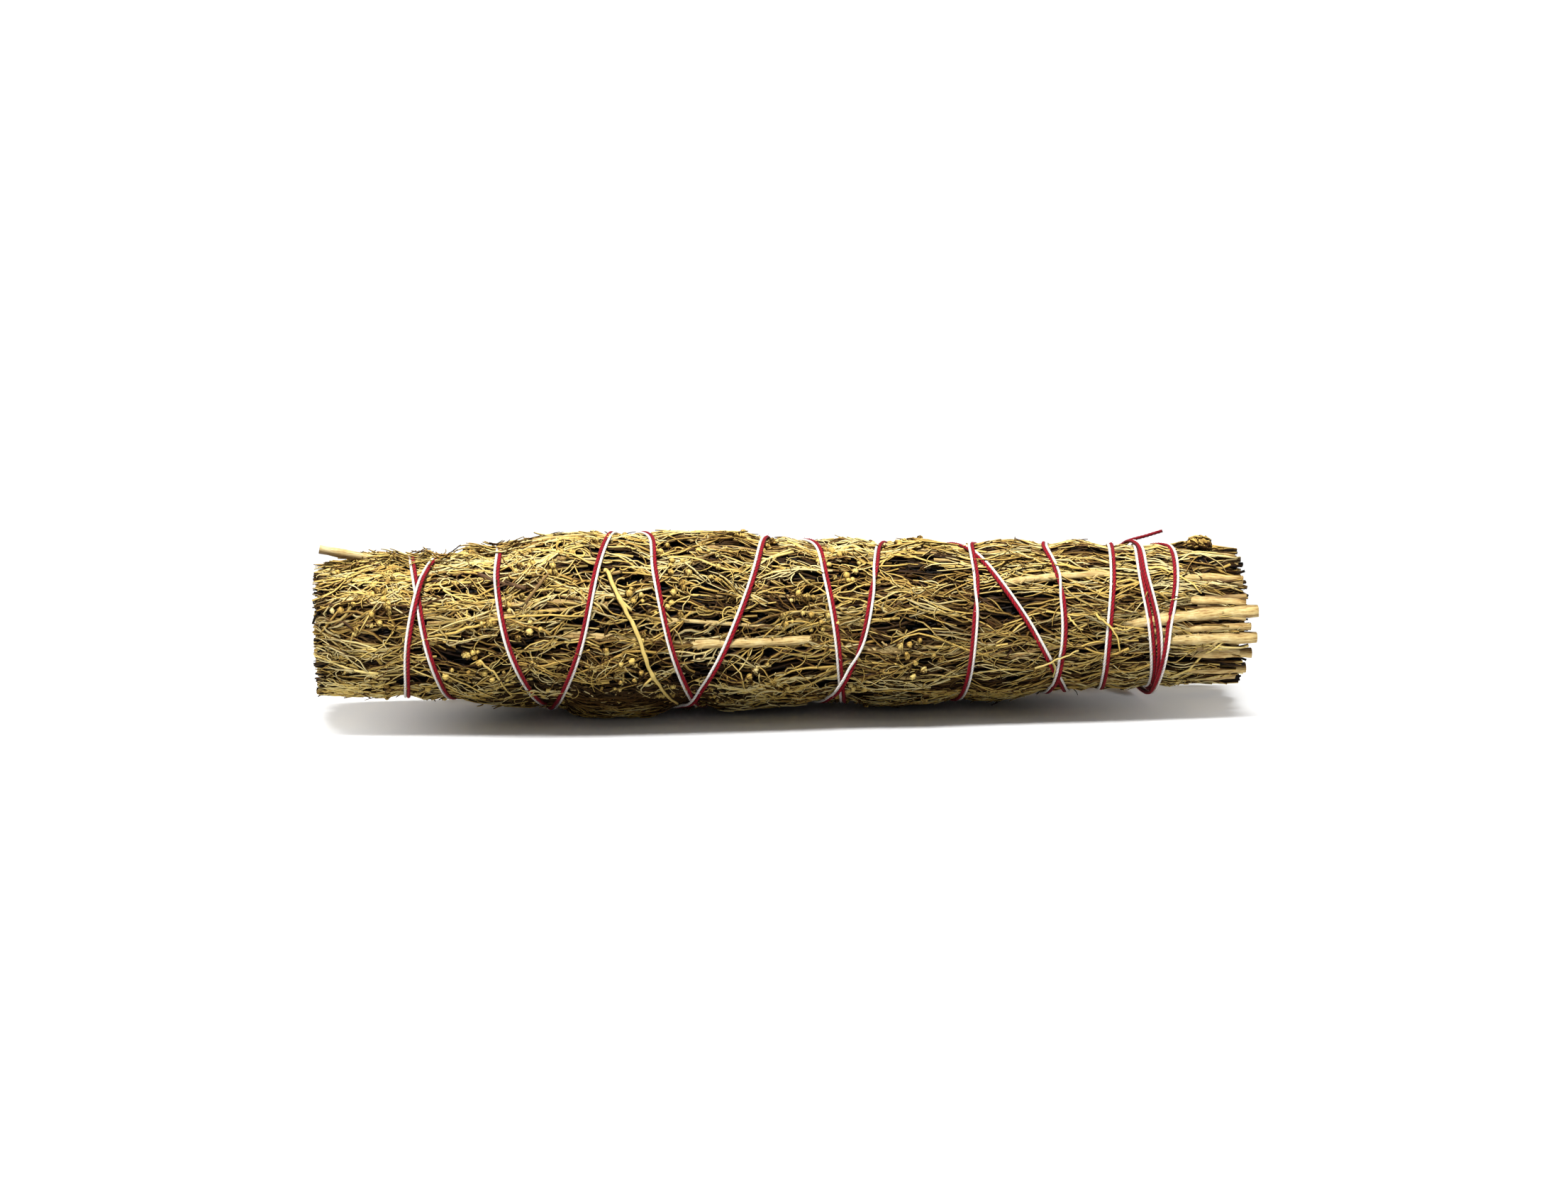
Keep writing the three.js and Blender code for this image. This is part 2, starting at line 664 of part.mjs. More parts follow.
function outerSprig(sprig) {
  const start = TIP_END + between(2.2, 4.5);
  const end = FURTHEST_BACK_END + between(-2.5, 0);
  let body = leafySurface(outerCore(sprig, start, end), sprig, start, end);
  for (const [owner, angle, to, radius] of BUTT_STEMS) {
    if (owner === sprig) body = body.add(buttStem(angle, to, radius));
  }
  for (const [owner, ...stem] of SURFACE_STEMS) {
    if (owner === sprig) body = body.add(surfaceStem(...stem));
  }
  const acrossSprig = (x) => (i) => {
    const margin = END_MARGIN / (INNER_SHARE * radiusAt(x));
    const low = seamAngle(sprig, x) + margin;
    const high = seamAngle(sprig + 1, x) - margin;
    const share = (i + 0.5) / END_TWIGS;
    const depth = -between(...OUTER_END_DEPTH);
    return { angle: low + (high - low) * share, depth, margin: END_SPREAD };
  };
  body = endTwigs(body, start, TIP_END - start, END_TWIGS, acrossSprig(start));
  body = endTwigs(body, end, OUTER_END_REACH, END_TWIGS - 2, acrossSprig(end));
  if (sprig === 0) REST_PADS.forEach((pad) => (body = body.add(restPad(pad))));
  if (sprig === 5) body = body.add(tipStem()).add(barkKnot());
  return body;
}

// The pale stem that pokes up out of the tip.
function tipStem() {
  const { angle, start, end, radius, rise } = TIP_STEM;
  const points = [];
  for (let i = 0; i <= 3; i++) {
    const t = i / 3;
    const lift = -2 * radius + (rise + 2 * radius) * t;
    points.push(bundlePoint(start + (end - start) * t, angle + TIP_STEM_LEAN * t, lift));
  }
  return toSolid(strandGeometry(points, TIP_STEM_SHARES.map((share) => share * radius), 7));
}

// A knotty lump of bark on top, near the cut stems.
function barkKnot() {
  const lump = new THREE.IcosahedronGeometry(1, 1);
  const place = lump.attributes.position;
  for (let i = 0; i < place.count; i++) {
    const [x, y, z] = [place.getX(i), place.getY(i), place.getZ(i)];
    const swell = 1 + BARK_KNOT.lumps * Math.sin(5 * x + 2 * y) * Math.cos(4 * z - 3 * y);
    place.setXYZ(i, x * swell, y * swell, z * swell);
  }
  lump.scale(...BARK_KNOT.size);
  const at = bundlePoint(BARK_KNOT.x, BARK_KNOT.angle, BARK_KNOT.lift);
  lump.translate(at.x, at.y, at.z);
  return toSolid(lump);
}

function innerSprig(sprig) {
  const start = TIP_END + between(2.5, 4.5);
  const end = FURTHEST_BACK_END + between(-2.5, 0);
  const quarter = (2 * Math.PI) / INNER_SPRIGS;
  const core = innerCore(sprig, start, end);
  const acrossQuarter = (x) => (i) => {
    const angle = quarter * (sprig + INNER_END_FIRST + INNER_END_STEP * i);
    const share = INNER_END_SHARES[i % 2];
    return { angle, depth: -share * (radiusAt(x) - LEAF_DEPTH), margin: INNER_END_SPREAD };
  };
  let body = endTwigs(core, start, TIP_END - start, END_TWIGS, acrossQuarter(start));
  const middle = quarter * (sprig + 0.5);
  const stem = INNER_STEM.radii.map((radius, i) => {
    const x = INNER_STEM.start + (i / 2) * (INNER_STEM.end - INNER_STEM.start);
    return bundlePoint(x, middle, -INNER_STEM.share * (radiusAt(x) - LEAF_DEPTH));
  });
  body = body.add(toSolid(strandGeometry(stem, INNER_STEM.radii, 7)));
  return endTwigs(body, end, INNER_END_REACH, END_TWIGS - 1, acrossQuarter(end));
}

function crossingTwig() {
  const radii = TWIG_ROUTE.map((row, i) => TWIG_RADIUS * (1 - TWIG_TAPER * i));
  let body = toSolid(strandGeometry(twigPoints, radii, 6));
  for (const [station, aside] of TWIG_STUMPS) {
    const [x, angle] = TWIG_ROUTE[station];
    const lift = GAP + 1.5 * TWIG_RADIUS;
    const tip = bundlePoint(x + aside, (angle - STUMP_LEAN) * DEGREE, lift);
    body = body.add(toSolid(strandGeometry([twigPoints[station], tip], STUMP_RADII, 4)));
  }
  return body;
}

const group = new THREE.Group();
function addPiece(name, geometry, color, roughness) {
  const material = new THREE.MeshStandardMaterial({ color, roughness, metalness: 0 });
  const mesh = new THREE.Mesh(geometry, material);
  mesh.name = name;
  group.add(mesh);
}

for (let sprig = 0; sprig < OUTER_SPRIGS; sprig++) {
  const colour = COLOURS.sage[sprig % COLOURS.sage.length];
  addPiece(`outer_sprig_${sprig + 1}`, toGeometry(outerSprig(sprig)), colour, SAGE_ROUGHNESS);
}
for (let sprig = 0; sprig < INNER_SPRIGS; sprig++) {
  const geometry = toGeometry(innerSprig(sprig));
  addPiece(`inner_sprig_${sprig + 1}`, geometry, COLOURS.innerSage, SAGE_ROUGHNESS);
}
addPiece("crossing_twig", toGeometry(crossingTwig()), COLOURS.twig, SAGE_ROUGHNESS);
addPiece("red_thread", threadGeometry(threads.red), COLOURS.crimson, COTTON_ROUGHNESS);
addPiece("white_thread", threadGeometry(threads.white), COLOURS.offWhite, COTTON_ROUGHNESS);

export default group;
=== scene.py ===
import json
import math

import bpy
import numpy as np
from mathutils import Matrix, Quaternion, Vector, kdtree

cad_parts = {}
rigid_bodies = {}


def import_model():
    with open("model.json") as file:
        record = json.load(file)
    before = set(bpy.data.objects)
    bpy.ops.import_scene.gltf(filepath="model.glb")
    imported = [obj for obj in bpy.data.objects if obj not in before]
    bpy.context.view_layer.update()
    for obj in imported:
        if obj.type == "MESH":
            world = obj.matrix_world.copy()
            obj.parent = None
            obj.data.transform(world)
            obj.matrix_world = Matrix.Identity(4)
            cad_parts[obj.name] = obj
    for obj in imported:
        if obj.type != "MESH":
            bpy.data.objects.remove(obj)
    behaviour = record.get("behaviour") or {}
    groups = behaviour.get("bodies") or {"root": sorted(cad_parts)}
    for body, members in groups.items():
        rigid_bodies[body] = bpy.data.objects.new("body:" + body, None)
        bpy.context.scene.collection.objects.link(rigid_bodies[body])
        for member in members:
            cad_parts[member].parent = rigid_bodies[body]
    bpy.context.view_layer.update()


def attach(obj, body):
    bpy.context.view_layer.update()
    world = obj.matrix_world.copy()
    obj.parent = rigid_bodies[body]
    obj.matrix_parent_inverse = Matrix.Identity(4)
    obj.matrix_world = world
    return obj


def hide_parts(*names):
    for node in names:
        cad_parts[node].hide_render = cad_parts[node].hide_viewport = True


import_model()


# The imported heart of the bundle: four bunches of dried sage stems in its middle, seen only at the two
# ends. They are a woody stem each with finer stems and leaves pressed round it, and nothing but the
# pressure of the outer sprigs holds them.
MM = 0.001
TURN = 2 * math.pi
DEGREE = math.pi / 180
UNDER = -math.pi / 2
TIP_END = -109.0
BUTT_END = 103.0
# Painted shade: how light a strand is painted at its sides, next to 1 on its outside.
SIDE_LIGHT = 0.1
# How much wider than high the bundle is, and how deep the threads press it in under its outline.
WIDENING = 1.02
LEAF_DEPTH = 1.0
AXIS_HEIGHT = 20.0
MEAN_RADIUS = 19.5
# How deep the underside is pressed flat, and how far round from its middle, as an angle.
FLAT_DEPTH = 0.5
FLAT_REACH = 0.45
# On the bake's map: the room for a strip's neighbours, its margin, and the discs at a strand's ends.
MAP_ROOM = 0.35
MAP_MARGIN = 0.17
MAP_DISC = 0.3
# Along the bundle from the tips to the butt, in millimetres: place, underside, top.
OUTLINE = np.array([
    [-109, 5.6, 33.8],
    [-92, 3.9, 37.5],
    [-77, 3.0, 37.9],
    [-65, 1.9, 40.1],
    [-54, 1.0, 42.0],
    [-42, 0, 42.4],
    [-30, 0, 42.2],
    [-8, 0.2, 41.1],
    [5, 0.5, 39.9],
    [32, 0, 38.6],
    [47, 0.7, 38.2],
    [60, 1.5, 38.2],
    [80, 2.5, 37.5],
    [100, 2.8, 37.0],
    [109, 2.9, 35.8],
])


def smooth_value(places, values, at):
    """A smooth curve through values at places, read at the places in at."""
    places = np.asarray(places, float)
    values = np.asarray(values, float)
    before = np.maximum(np.arange(len(places)) - 1, 0)
    after = np.minimum(np.arange(len(places)) + 1, len(places) - 1)
    slopes = (values[after] - values[before]) / (places[after] - places[before])
    i = np.clip(np.searchsorted(places, at, side="right") - 1, 0, len(places) - 2)
    span = places[i + 1] - places[i]
    t = np.clip((at - places[i]) / span, 0, 1)
    rise = 3 * t**2 - 2 * t**3
    leave = t * (1 - t) ** 2 * slopes[i] * span
    arrive = t**2 * (t - 1) * slopes[i + 1] * span
    return values[i] * (1 - rise) + values[i + 1] * rise + leave + arrive


def underside_at(x):
    return smooth_value(OUTLINE[:, 0], OUTLINE[:, 1], x)


def top_at(x):
    return smooth_value(OUTLINE[:, 0], OUTLINE[:, 2], x)


def radius_at(x):
    return (top_at(x) - underside_at(x)) / 2


def bundle_point(x, angle, lift):
    """A point by its place, its angle (0 in front, a right angle on top) and its height over the
    surface that the threads press down to."""
    x, angle, lift = np.broadcast_arrays(*(np.asarray(v, float) for v in (x, angle, lift)))
    round_ = radius_at(x)
    centre = (top_at(x) + underside_at(x)) / 2
    from_under = (angle - UNDER + math.pi) % TURN - math.pi
    flat = FLAT_DEPTH * np.exp(-((from_under / FLAT_REACH) ** 2))
    across = round_ * WIDENING - LEAF_DEPTH + lift
    upright = round_ - LEAF_DEPTH - flat + lift
    return np.stack([x, -across * np.cos(angle), centre + upright * np.sin(angle)], -1)


def lay(x, angle, lift, least):
    """The points of strands, kept over the floor by at least so much."""
    points = bundle_point(x, angle, lift)
    points[..., 2] = np.maximum(points[..., 2], least)
    return points


def placed(name, data):
    """An object in the scene that shows a mesh, a light or a camera."""
    made = bpy.data.objects.new(name, data)
    bpy.context.scene.collection.objects.link(made)
    return made


def unit(vectors):
    return vectors / np.maximum(np.linalg.norm(vectors, axis=-1, keepdims=True), 1e-12)


class Pile:
    """Closed round strands, in millimetres, gathered to make one mesh, with a tint and a painted shade at
    every corner.
    """

    def __init__(self, side_light=SIDE_LIGHT):
        self.side_light = side_light
        self.points, self.corners, self.sizes, self.slots, self.smooth = ([] for _ in range(5))
        self.grain, self.strip, self.strip_place, self.strip_size = ([] for _ in range(4))
        self.marks = {"tint": [], "depth": []}
        self.count = 0
        self.strips = 0

    def add_faces(self, corners, size, slot, smooth, grain, strip, place):
        self.corners.append(corners.ravel())
        self.sizes.append(np.full(len(corners), size))
        self.slots.append(np.full(len(corners), slot))
        self.smooth.append(np.full(len(corners), smooth))
        self.grain.append(grain.reshape(-1, 2))
        self.strip.append(strip.ravel())
        self.strip_place.append(place.reshape(-1, 2))

    def strands(self, paths, radii, sides, tint, depth, slot=0, shape=1.0, cut=None):
        """Strands along paths (strand, ring, 3) with radii (strand, ring). shape multiplies the radius of
        each ring's corners."""
        paths = np.asarray(paths, float)
        radii = np.broadcast_to(np.asarray(radii, float), paths.shape[:2])
        along = unit(np.gradient(paths, axis=1))
        side = np.empty_like(paths)
        side[:, 0] = unit(np.cross(along[:, 0], [0.13, 0.31, 0.94]))
        for i in range(1, paths.shape[1]):
            last = side[:, i - 1]
            side[:, i] = unit(last - (last * along[:, i]).sum(-1, keepdims=True) * along[:, i])
        other = np.cross(along, side)
        spin = np.arange(sides) * TURN / sides
        spokes = side[:, :, None] * np.cos(spin)[:, None] + other[:, :, None] * np.sin(spin)[:, None]
        reach = radii[:, :, None] * shape
        self.tubes(paths[:, :, None] + reach[..., None] * spokes, tint, depth, slot, cut)

    def tubes(self, points, tint, depth, slot=0, cut=None):
        """Closed tubes through rings of corners (tube, ring, corner, 3). cut is how many rings share a
        strip of the bake's map."""
        count, rings, sides = points.shape[:3]
        self.points.append(points.reshape(-1, 3))
        middle = points.mean(2)
        # Painted shade: each corner is painted darker the further it faces away from the bundle's
        # outside, on top of the painted shade that it is given.
        outward = unit(middle * [0, 1, 1] - [0, 0, AXIS_HEIGHT])
        facing = (unit(points - middle[:, :, None]) * outward[:, :, None]).sum(-1)
        painted_light = np.clip(self.side_light + (1 - self.side_light) * facing, 0.03, 1)
        for name, value, change in (("tint", tint, 1), ("depth", depth, painted_light)):
            value = np.asarray(value, float)
            value = value.reshape(value.shape + (1,) * (3 - value.ndim))
            value = np.broadcast_to(value, (count, rings, sides)) * change
            self.marks[name].append(value.ravel())
        radii = np.linalg.norm(points - middle[:, :, None], axis=-1).mean(-1)
        steps = np.linalg.norm(np.diff(middle, axis=1), axis=2)
        length = np.concatenate([np.zeros((count, 1)), np.cumsum(steps, 1)], 1)
        cut = cut or rings
        pieces = -(-(rings - 1) // cut)
        girth = TURN * radii.max(1)
        n, p, s = np.meshgrid(
            np.arange(count), np.arange(rings - 1), np.arange(sides), indexing="ij")
        base = self.count + n * rings * sides
        t = (s + 1) % sides
        corners = np.stack(
            [base + p * sides + s, base + p * sides + t,
             base + (p + 1) * sides + t, base + (p + 1) * sides + s], -1)
        u = np.stack([length[n, p], length[n, p], length[n, p + 1], length[n, p + 1]], -1)
        v = np.stack([s, s + 1, s + 1, s], -1) / sides
        strip = self.strips + n * pieces + p // cut
        start = length[n, p // cut * cut]
        place = np.stack([u - start[..., None], v * girth[n][..., None]], -1)
        self.add_faces(
            corners.reshape(-1, 4), 4, slot, True, np.stack([u, v], -1),
            np.repeat(strip.ravel(), 4), place)
        for ring, order in ((0, slice(None, None, -1)), (rings - 1, slice(None))):
            spot = np.arange(sides)[order]
            spin = spot * TURN / sides
            rows = self.count + (np.arange(count)[:, None] * rings + ring) * sides + spot
            u = np.repeat(length[:, ring, None], sides, 1)
            v = np.broadcast_to(spot / sides, u.shape)
            at = 0 if ring == 0 else pieces - 1
            swing = MAP_DISC * radii[:, ring, None]
            place = np.stack(
                [u - length[:, at * cut, None] + swing * (1 + np.cos(spin)) * (1 if ring else 0.2),
                 girth[:, None] / 2 + swing * np.sin(spin)], -1)
            self.add_faces(
                rows, sides, slot, False, np.stack([u, v], -1),
                np.repeat(self.strips + np.arange(count) * pieces + at, sides), place)
        ends = np.minimum((np.arange(pieces) + 1) * cut, rings - 1)
        reach = length[:, ends] - length[:, np.arange(pieces) * cut] + 0.7 * radii.max(1)[:, None]
        self.strip_size.append(
            np.stack([reach, np.repeat(girth[:, None], pieces, 1)], -1).reshape(-1, 2))
        self.strips += count * pieces
        self.count += count * rings * sides

    def atlas(self):
        """A bake map in which every strand lies flat in a strip of its own."""
        size = np.concatenate(self.strip_size) + MAP_ROOM
        order = np.argsort(-size[:, 1])
        width = 1.05 * math.sqrt((size[:, 0] * size[:, 1]).sum())
        filled = np.cumsum(size[order, 0]) - size[order, 0]
        row = (filled / width).astype(int)
        starts = np.searchsorted(row, np.arange(row[-1] + 1))
        heights = size[order, 1][starts]
        floor = np.concatenate([[0], np.cumsum(heights)[:-1]])
        corner = np.empty_like(size)
        corner[order] = np.stack([filled - filled[starts][row], floor[row]], -1)
        whole = (corner + size).max(0)
        spots = corner[np.concatenate(self.strip)] + np.concatenate(self.strip_place) + MAP_MARGIN
        return spots / whole

    def piece(self, name, materials):
        mesh = bpy.data.meshes.new(name)
        points = np.concatenate(self.points) * MM
        corners = np.concatenate(self.corners)
        sizes = np.concatenate(self.sizes)
        mesh.vertices.add(len(points))
        mesh.vertices.foreach_set("co", points.ravel())
        mesh.loops.add(len(corners))
        mesh.loops.foreach_set("vertex_index", corners.astype(np.int32))
        mesh.polygons.add(len(sizes))
        mesh.polygons.foreach_set("loop_start", (np.cumsum(sizes) - sizes).astype(np.int32))
        for material in materials:
            mesh.materials.append(material)
        mesh.polygons.foreach_set("material_index", np.concatenate(self.slots).astype(np.int32))
        mesh.polygons.foreach_set("use_smooth", np.concatenate(self.smooth))
        for mark, values in self.marks.items():
            made = mesh.attributes.new(mark, "FLOAT", "POINT")
            made.data.foreach_set("value", np.concatenate(values).astype(np.float32))
        for layer, spots in (("grain", np.concatenate(self.grain)), ("OFBake", self.atlas())):
            made = mesh.uv_layers.new(name=layer, do_init=False)
            made.uv.foreach_set("vector", spots.astype(np.float32).ravel())
        mesh.uv_layers["grain"].active_render = True
        mesh.update(calc_edges=True)
        return placed(name, mesh)


class Amount:
    """A number in a material that changes over a surface. Sums on it add Math nodes."""

    def __init__(self, finish, socket):
        self.finish, self.socket = finish, socket

    def sum(self, operation, first, second):
        return self.finish.node("Math", {"operation": operation}, {0: first, 1: second})

    def __add__(self, other):
        return self.sum("ADD", self, other)

    def __sub__(self, other):
        return self.sum("SUBTRACT", self, other)

    def __rsub__(self, other):
        return self.sum("SUBTRACT", other, self)

    def __mul__(self, other):
        return self.sum("MULTIPLY", self, other)

    __radd__, __rmul__ = __add__, __mul__


class Finish:
    """A material of nodes round one Principled shader."""

    def __init__(self, name, **fixed):
        self.material = bpy.data.materials.new(name)
        self.material.use_nodes = True
        self.tree = self.material.node_tree
        self.shader = self.tree.nodes["Principled BSDF"]
        for socket, value in fixed.items():
            self.shader.inputs[socket.replace("_", " ")].default_value = value

    def node(self, kind, settings=None, sockets=None, out=0):
        made = self.tree.nodes.new("ShaderNode" + kind)
        for key, value in (settings or {}).items():
            if key == "stops":
                ramp = made.color_ramp
                while len(ramp.elements) < len(value):
                    ramp.elements.new(1)
                for stop, (at, colour) in zip(ramp.elements, value):
                    stop.position = at
                    stop.color = (*colour, 1)
            else:
                setattr(made, key, value)
        for key, value in (sockets or {}).items():
            if isinstance(value, Amount):
                self.tree.links.new(value.socket, made.inputs[key])
            else:
                made.inputs[key].default_value = value
        return Amount(self, made.outputs[out])

    def feed(self, socket, amount):
        self.tree.links.new(amount.socket, self.shader.inputs[socket])

    def mark(self, name):
        """What the mesh holds under this name."""
        return self.node("Attribute", {"attribute_name": name}, out="Fac")

    def mix(self, factor, first, second, blend="MIX"):
        settings = {"data_type": "RGBA", "blend_type": blend}
        return self.node("Mix", settings, {0: factor, 6: first, 7: second}, out=2)

    def ramp(self, stops, amount):
        return self.node("ValToRGB", {"stops": stops}, {0: amount})

    def noise(self, vector, scale, detail, roughness):
        sockets = {"Vector": vector, "Scale": scale, "Detail": detail, "Roughness": roughness}
        return self.node("TexNoise", {}, sockets)

    def mottle(self, scale, detail, roughness=0.5):
        """Noise by the place on the object."""
        return self.noise(self.node("TexCoord", out="Object"), scale, detail, roughness)

    def streaks(self, stretch, scale, detail, roughness, turned=0.0):
        """Noise that follows the strands. stretch is its scale along them and round them."""
        grain = self.node("UVMap", {"uv_map": "grain"})
        sockets = {"Vector": grain, "Rotation": (0, 0, turned), "Scale": (*stretch, 1.0)}
        return self.noise(self.node("Mapping", {}, sockets), scale, detail, roughness)

    def bump(self, strength, distance, height):
        sockets = {"Strength": strength, "Distance": distance, "Height": height}
        self.feed("Normal", self.node("Bump", {}, sockets))


WHITE = (1.0, 1.0, 1.0)
# The colours of dried sage, from the oldest brown to the palest straw, and the painted shade that darkens
# them where little light would reach and in the clefts of the bark.
LEAF_COLOURS = [
    (0.00, (0.065, 0.027, 0.008)),
    (0.15, (0.195, 0.102, 0.026)),
    (0.36, (0.480, 0.300, 0.072)),
    (0.58, (0.715, 0.505, 0.134)),
    (0.80, (0.760, 0.585, 0.198)),
    (1.00, (0.780, 0.660, 0.320)),
]
STEM_COLOURS = [
    (0.00, (0.230, 0.115, 0.045)),
    (0.45, (0.550, 0.365, 0.125)),
    (0.80, (0.720, 0.550, 0.230)),
    (1.00, (0.840, 0.705, 0.380)),
]
LEAF_SHADE = [(0.0, (0.002, 0.001, 0.001)), (0.42, (0.135, 0.088, 0.050)), (0.72, WHITE)]
STEM_SHADE = [(0.0, (0.20, 0.15, 0.11)), (1.0, WHITE)]
BARK_CLEFTS = [(0.0, (0.22, 0.15, 0.10)), (0.36, (0.62, 0.52, 0.42)), (0.5, WHITE)]


def dried_leaf():
    """Wrinkled, dull, yellow-olive leaf and fine stem, each a little different, darkened by painted
    shade.
    """
    leaf = Finish("dried_sage_leaf", Specular_IOR_Level=0.16)
    mottle = leaf.mottle(900.0, 3.0, 0.6)
    streak = leaf.streaks((0.9, 5.0), 2.4, 2.0, 0.6)
    tint = leaf.mark("tint") + (mottle - 0.5) * 0.35 + (streak - 0.5) * 0.3
    # Painted shade: the leaf is darkened where less light would reach it.
    dimmed = leaf.ramp(LEAF_SHADE, leaf.mark("depth"))
    leaf.feed("Base Color", leaf.mix(1.0, leaf.ramp(LEAF_COLOURS, tint), dimmed, "MULTIPLY"))
    leaf.feed("Roughness", 0.42 + streak * 0.35)
    leaf.bump(0.35, 0.00012, streak + mottle * 0.6)
    return leaf.material


def bare_stem():
    """Pale, woody stem whose bark is split into long fine strips, with painted shade in the clefts
    between them and where less light would reach.
    """
    stem = Finish("bare_sage_stem", Specular_IOR_Level=0.35)
    strips = stem.streaks((0.10, 7.0), 3.0, 4.0, 0.6)
    patches = stem.streaks((0.30, 1.6), 1.6, 3.0, 0.65)
    joints = stem.streaks((0.45, 0.5), 1.0, 1.0, 0.5)
    tint = stem.mark("tint") + (strips - 0.5) * 1.1 + (patches - 0.5) * 0.7 + (joints - 0.5) * 0.5
    # Painted shade in the clefts between the strips of bark.
    clefts = stem.ramp(BARK_CLEFTS, strips)
    bark = stem.mix(1.0, stem.ramp(STEM_COLOURS, tint), clefts, "MULTIPLY")
    # Painted shade where less light would reach the stem.
    dimmed = stem.ramp(STEM_SHADE, stem.mark("depth"))
    stem.feed("Base Color", stem.mix(1.0, bark, dimmed, "MULTIPLY"))
    stem.feed("Roughness", 0.48 + patches * 0.35)
    stem.bump(0.7, 0.00025, strips * 0.9 + patches * 0.3)
    return stem.material


LEAF = dried_leaf()
STEM = bare_stem()
INNER_SPRIGS = 4
QUARTER = TURN / INNER_SPRIGS
# How far out the heart comes, as a share of the radius, and the gap between it and what is round it.
INNER_SHARE = 0.5
INNER_GAP = 1.1
CORE_PLACES = np.linspace(TIP_END + 5.5, BUTT_END - 4.0, 34)
END_RADIUS = 17
# Cut ends that show at the two faces: how many, which way they point, the place of the face, the least
# and greatest radius, the material's slot, and the range of tones.
HEART_ENDS = [
    (95, -1, TIP_END, (0.20, 0.34), 0, (0.35, 0.85)),
    (14, -1, TIP_END, (0.45, 0.75), 1, (0.25, 0.7)),
    (60, 1, BUTT_END + 3.5, (0.22, 0.38), 0, (0.3, 0.7)),
    (20, 1, BUTT_END + 5.0, (0.55, 1.05), 1, (0.3, 0.8)),
]
HEART_STEM = [[1.3, 1.32, 1.36, 1.4, 1.38, 1.42, 1.4]]


def cut_ends(pile, rng, rows, depth_range, angle_range):
    """Short lengths of stem or leaf that end at a face of the bundle, between two depths and angles."""
    low, high = (share**2 for share in depth_range)
    t = np.linspace(0, 1, 5)
    for count, outward, x, radius, slot, tint in rows:
        angle = rng.uniform(*angle_range, count)
        share = np.sqrt(rng.uniform(low, high, count))
        lift = (share - 1) * (radius_at(x) - LEAF_DEPTH)
        end = x + outward * rng.uniform(-2.6, 0.4, count)
        at = end[:, None] - outward * rng.uniform(7, 11, count)[:, None] * (1 - t)
        lean = rng.normal(0, 0.9, (2, count))[..., None] * t**2
        bend = rng.uniform(0, 0.25, (count, 1)) * np.sin(TURN * t + rng.uniform(0, TURN, (count, 1)))
        turned = angle[:, None] + lean[0] / (share * END_RADIUS)[:, None]
        paths = lay(at, turned, lift[:, None] + lean[1] + bend, 0.8)
        radii = rng.uniform(*radius, count)[:, None] * (1 - 0.25 * t)
        tints = rng.uniform(*tint, count)
        # Painted shade: a cut end is painted darker the further it lies in from the face.
        pile.strands(paths, radii, 6 if slot else 4, tints, 0.25 + 0.7 * t[None] ** 3, slot)


for quarter in range(INNER_SPRIGS):
    rng = np.random.default_rng(500 + quarter)
    pile = Pile()
    middle = QUARTER * (quarter + 0.5)
    spread = np.linspace(0.5, -0.5, 7)
    x = CORE_PLACES[:, None]
    lift = -(1 - INNER_SHARE) * radius_at(x) - INNER_GAP + rng.uniform(-0.6, 0, (len(x), 7))
    arc = bundle_point(x, middle + QUARTER * spread[None], lift)
    centre = (bundle_point(x, 0, 0) + bundle_point(x, math.pi, 0)) / 2
    # The heart's body is painted near black, as painted shade inside the bundle.
    pile.tubes(np.concatenate([centre, arc], 1)[None], 0.1, 0.1)
    angles = (middle - 0.46 * QUARTER, middle + 0.46 * QUARTER)
    cut_ends(pile, rng, HEART_ENDS, (0.05, 0.52), angles)
    x = np.linspace(88, 107, 7)
    stem = bundle_point(x, middle, -0.72 * (radius_at(x) - LEAF_DEPTH))
    # The heart's stem gets a little painted shade.
    pile.strands(stem[None], HEART_STEM, 10, 0.6, 0.9, 1)
    heart = pile.piece(f"sage_heart_{quarter + 1}", [LEAF, STEM])
    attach(heart, "root")
    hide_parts(f"inner_sprig_{quarter + 1}")


# The outer sprigs: ten leafy stems laid side by side round the heart and squeezed by the threads. Each
# is a woody stem with fine side stems, narrow leaves and round flower buds, all dried to olive and gold.
# Between the threads they swell, and under them they are pressed in.
OUTER_SPRIGS = 10
SECTOR = TURN / OUTER_SPRIGS
# How high the leaves come between the threads and under them, and how soon they rise beside them.
SWELL = 1.35
PRESSED = 0.05
SWELL_REACH = 3.6

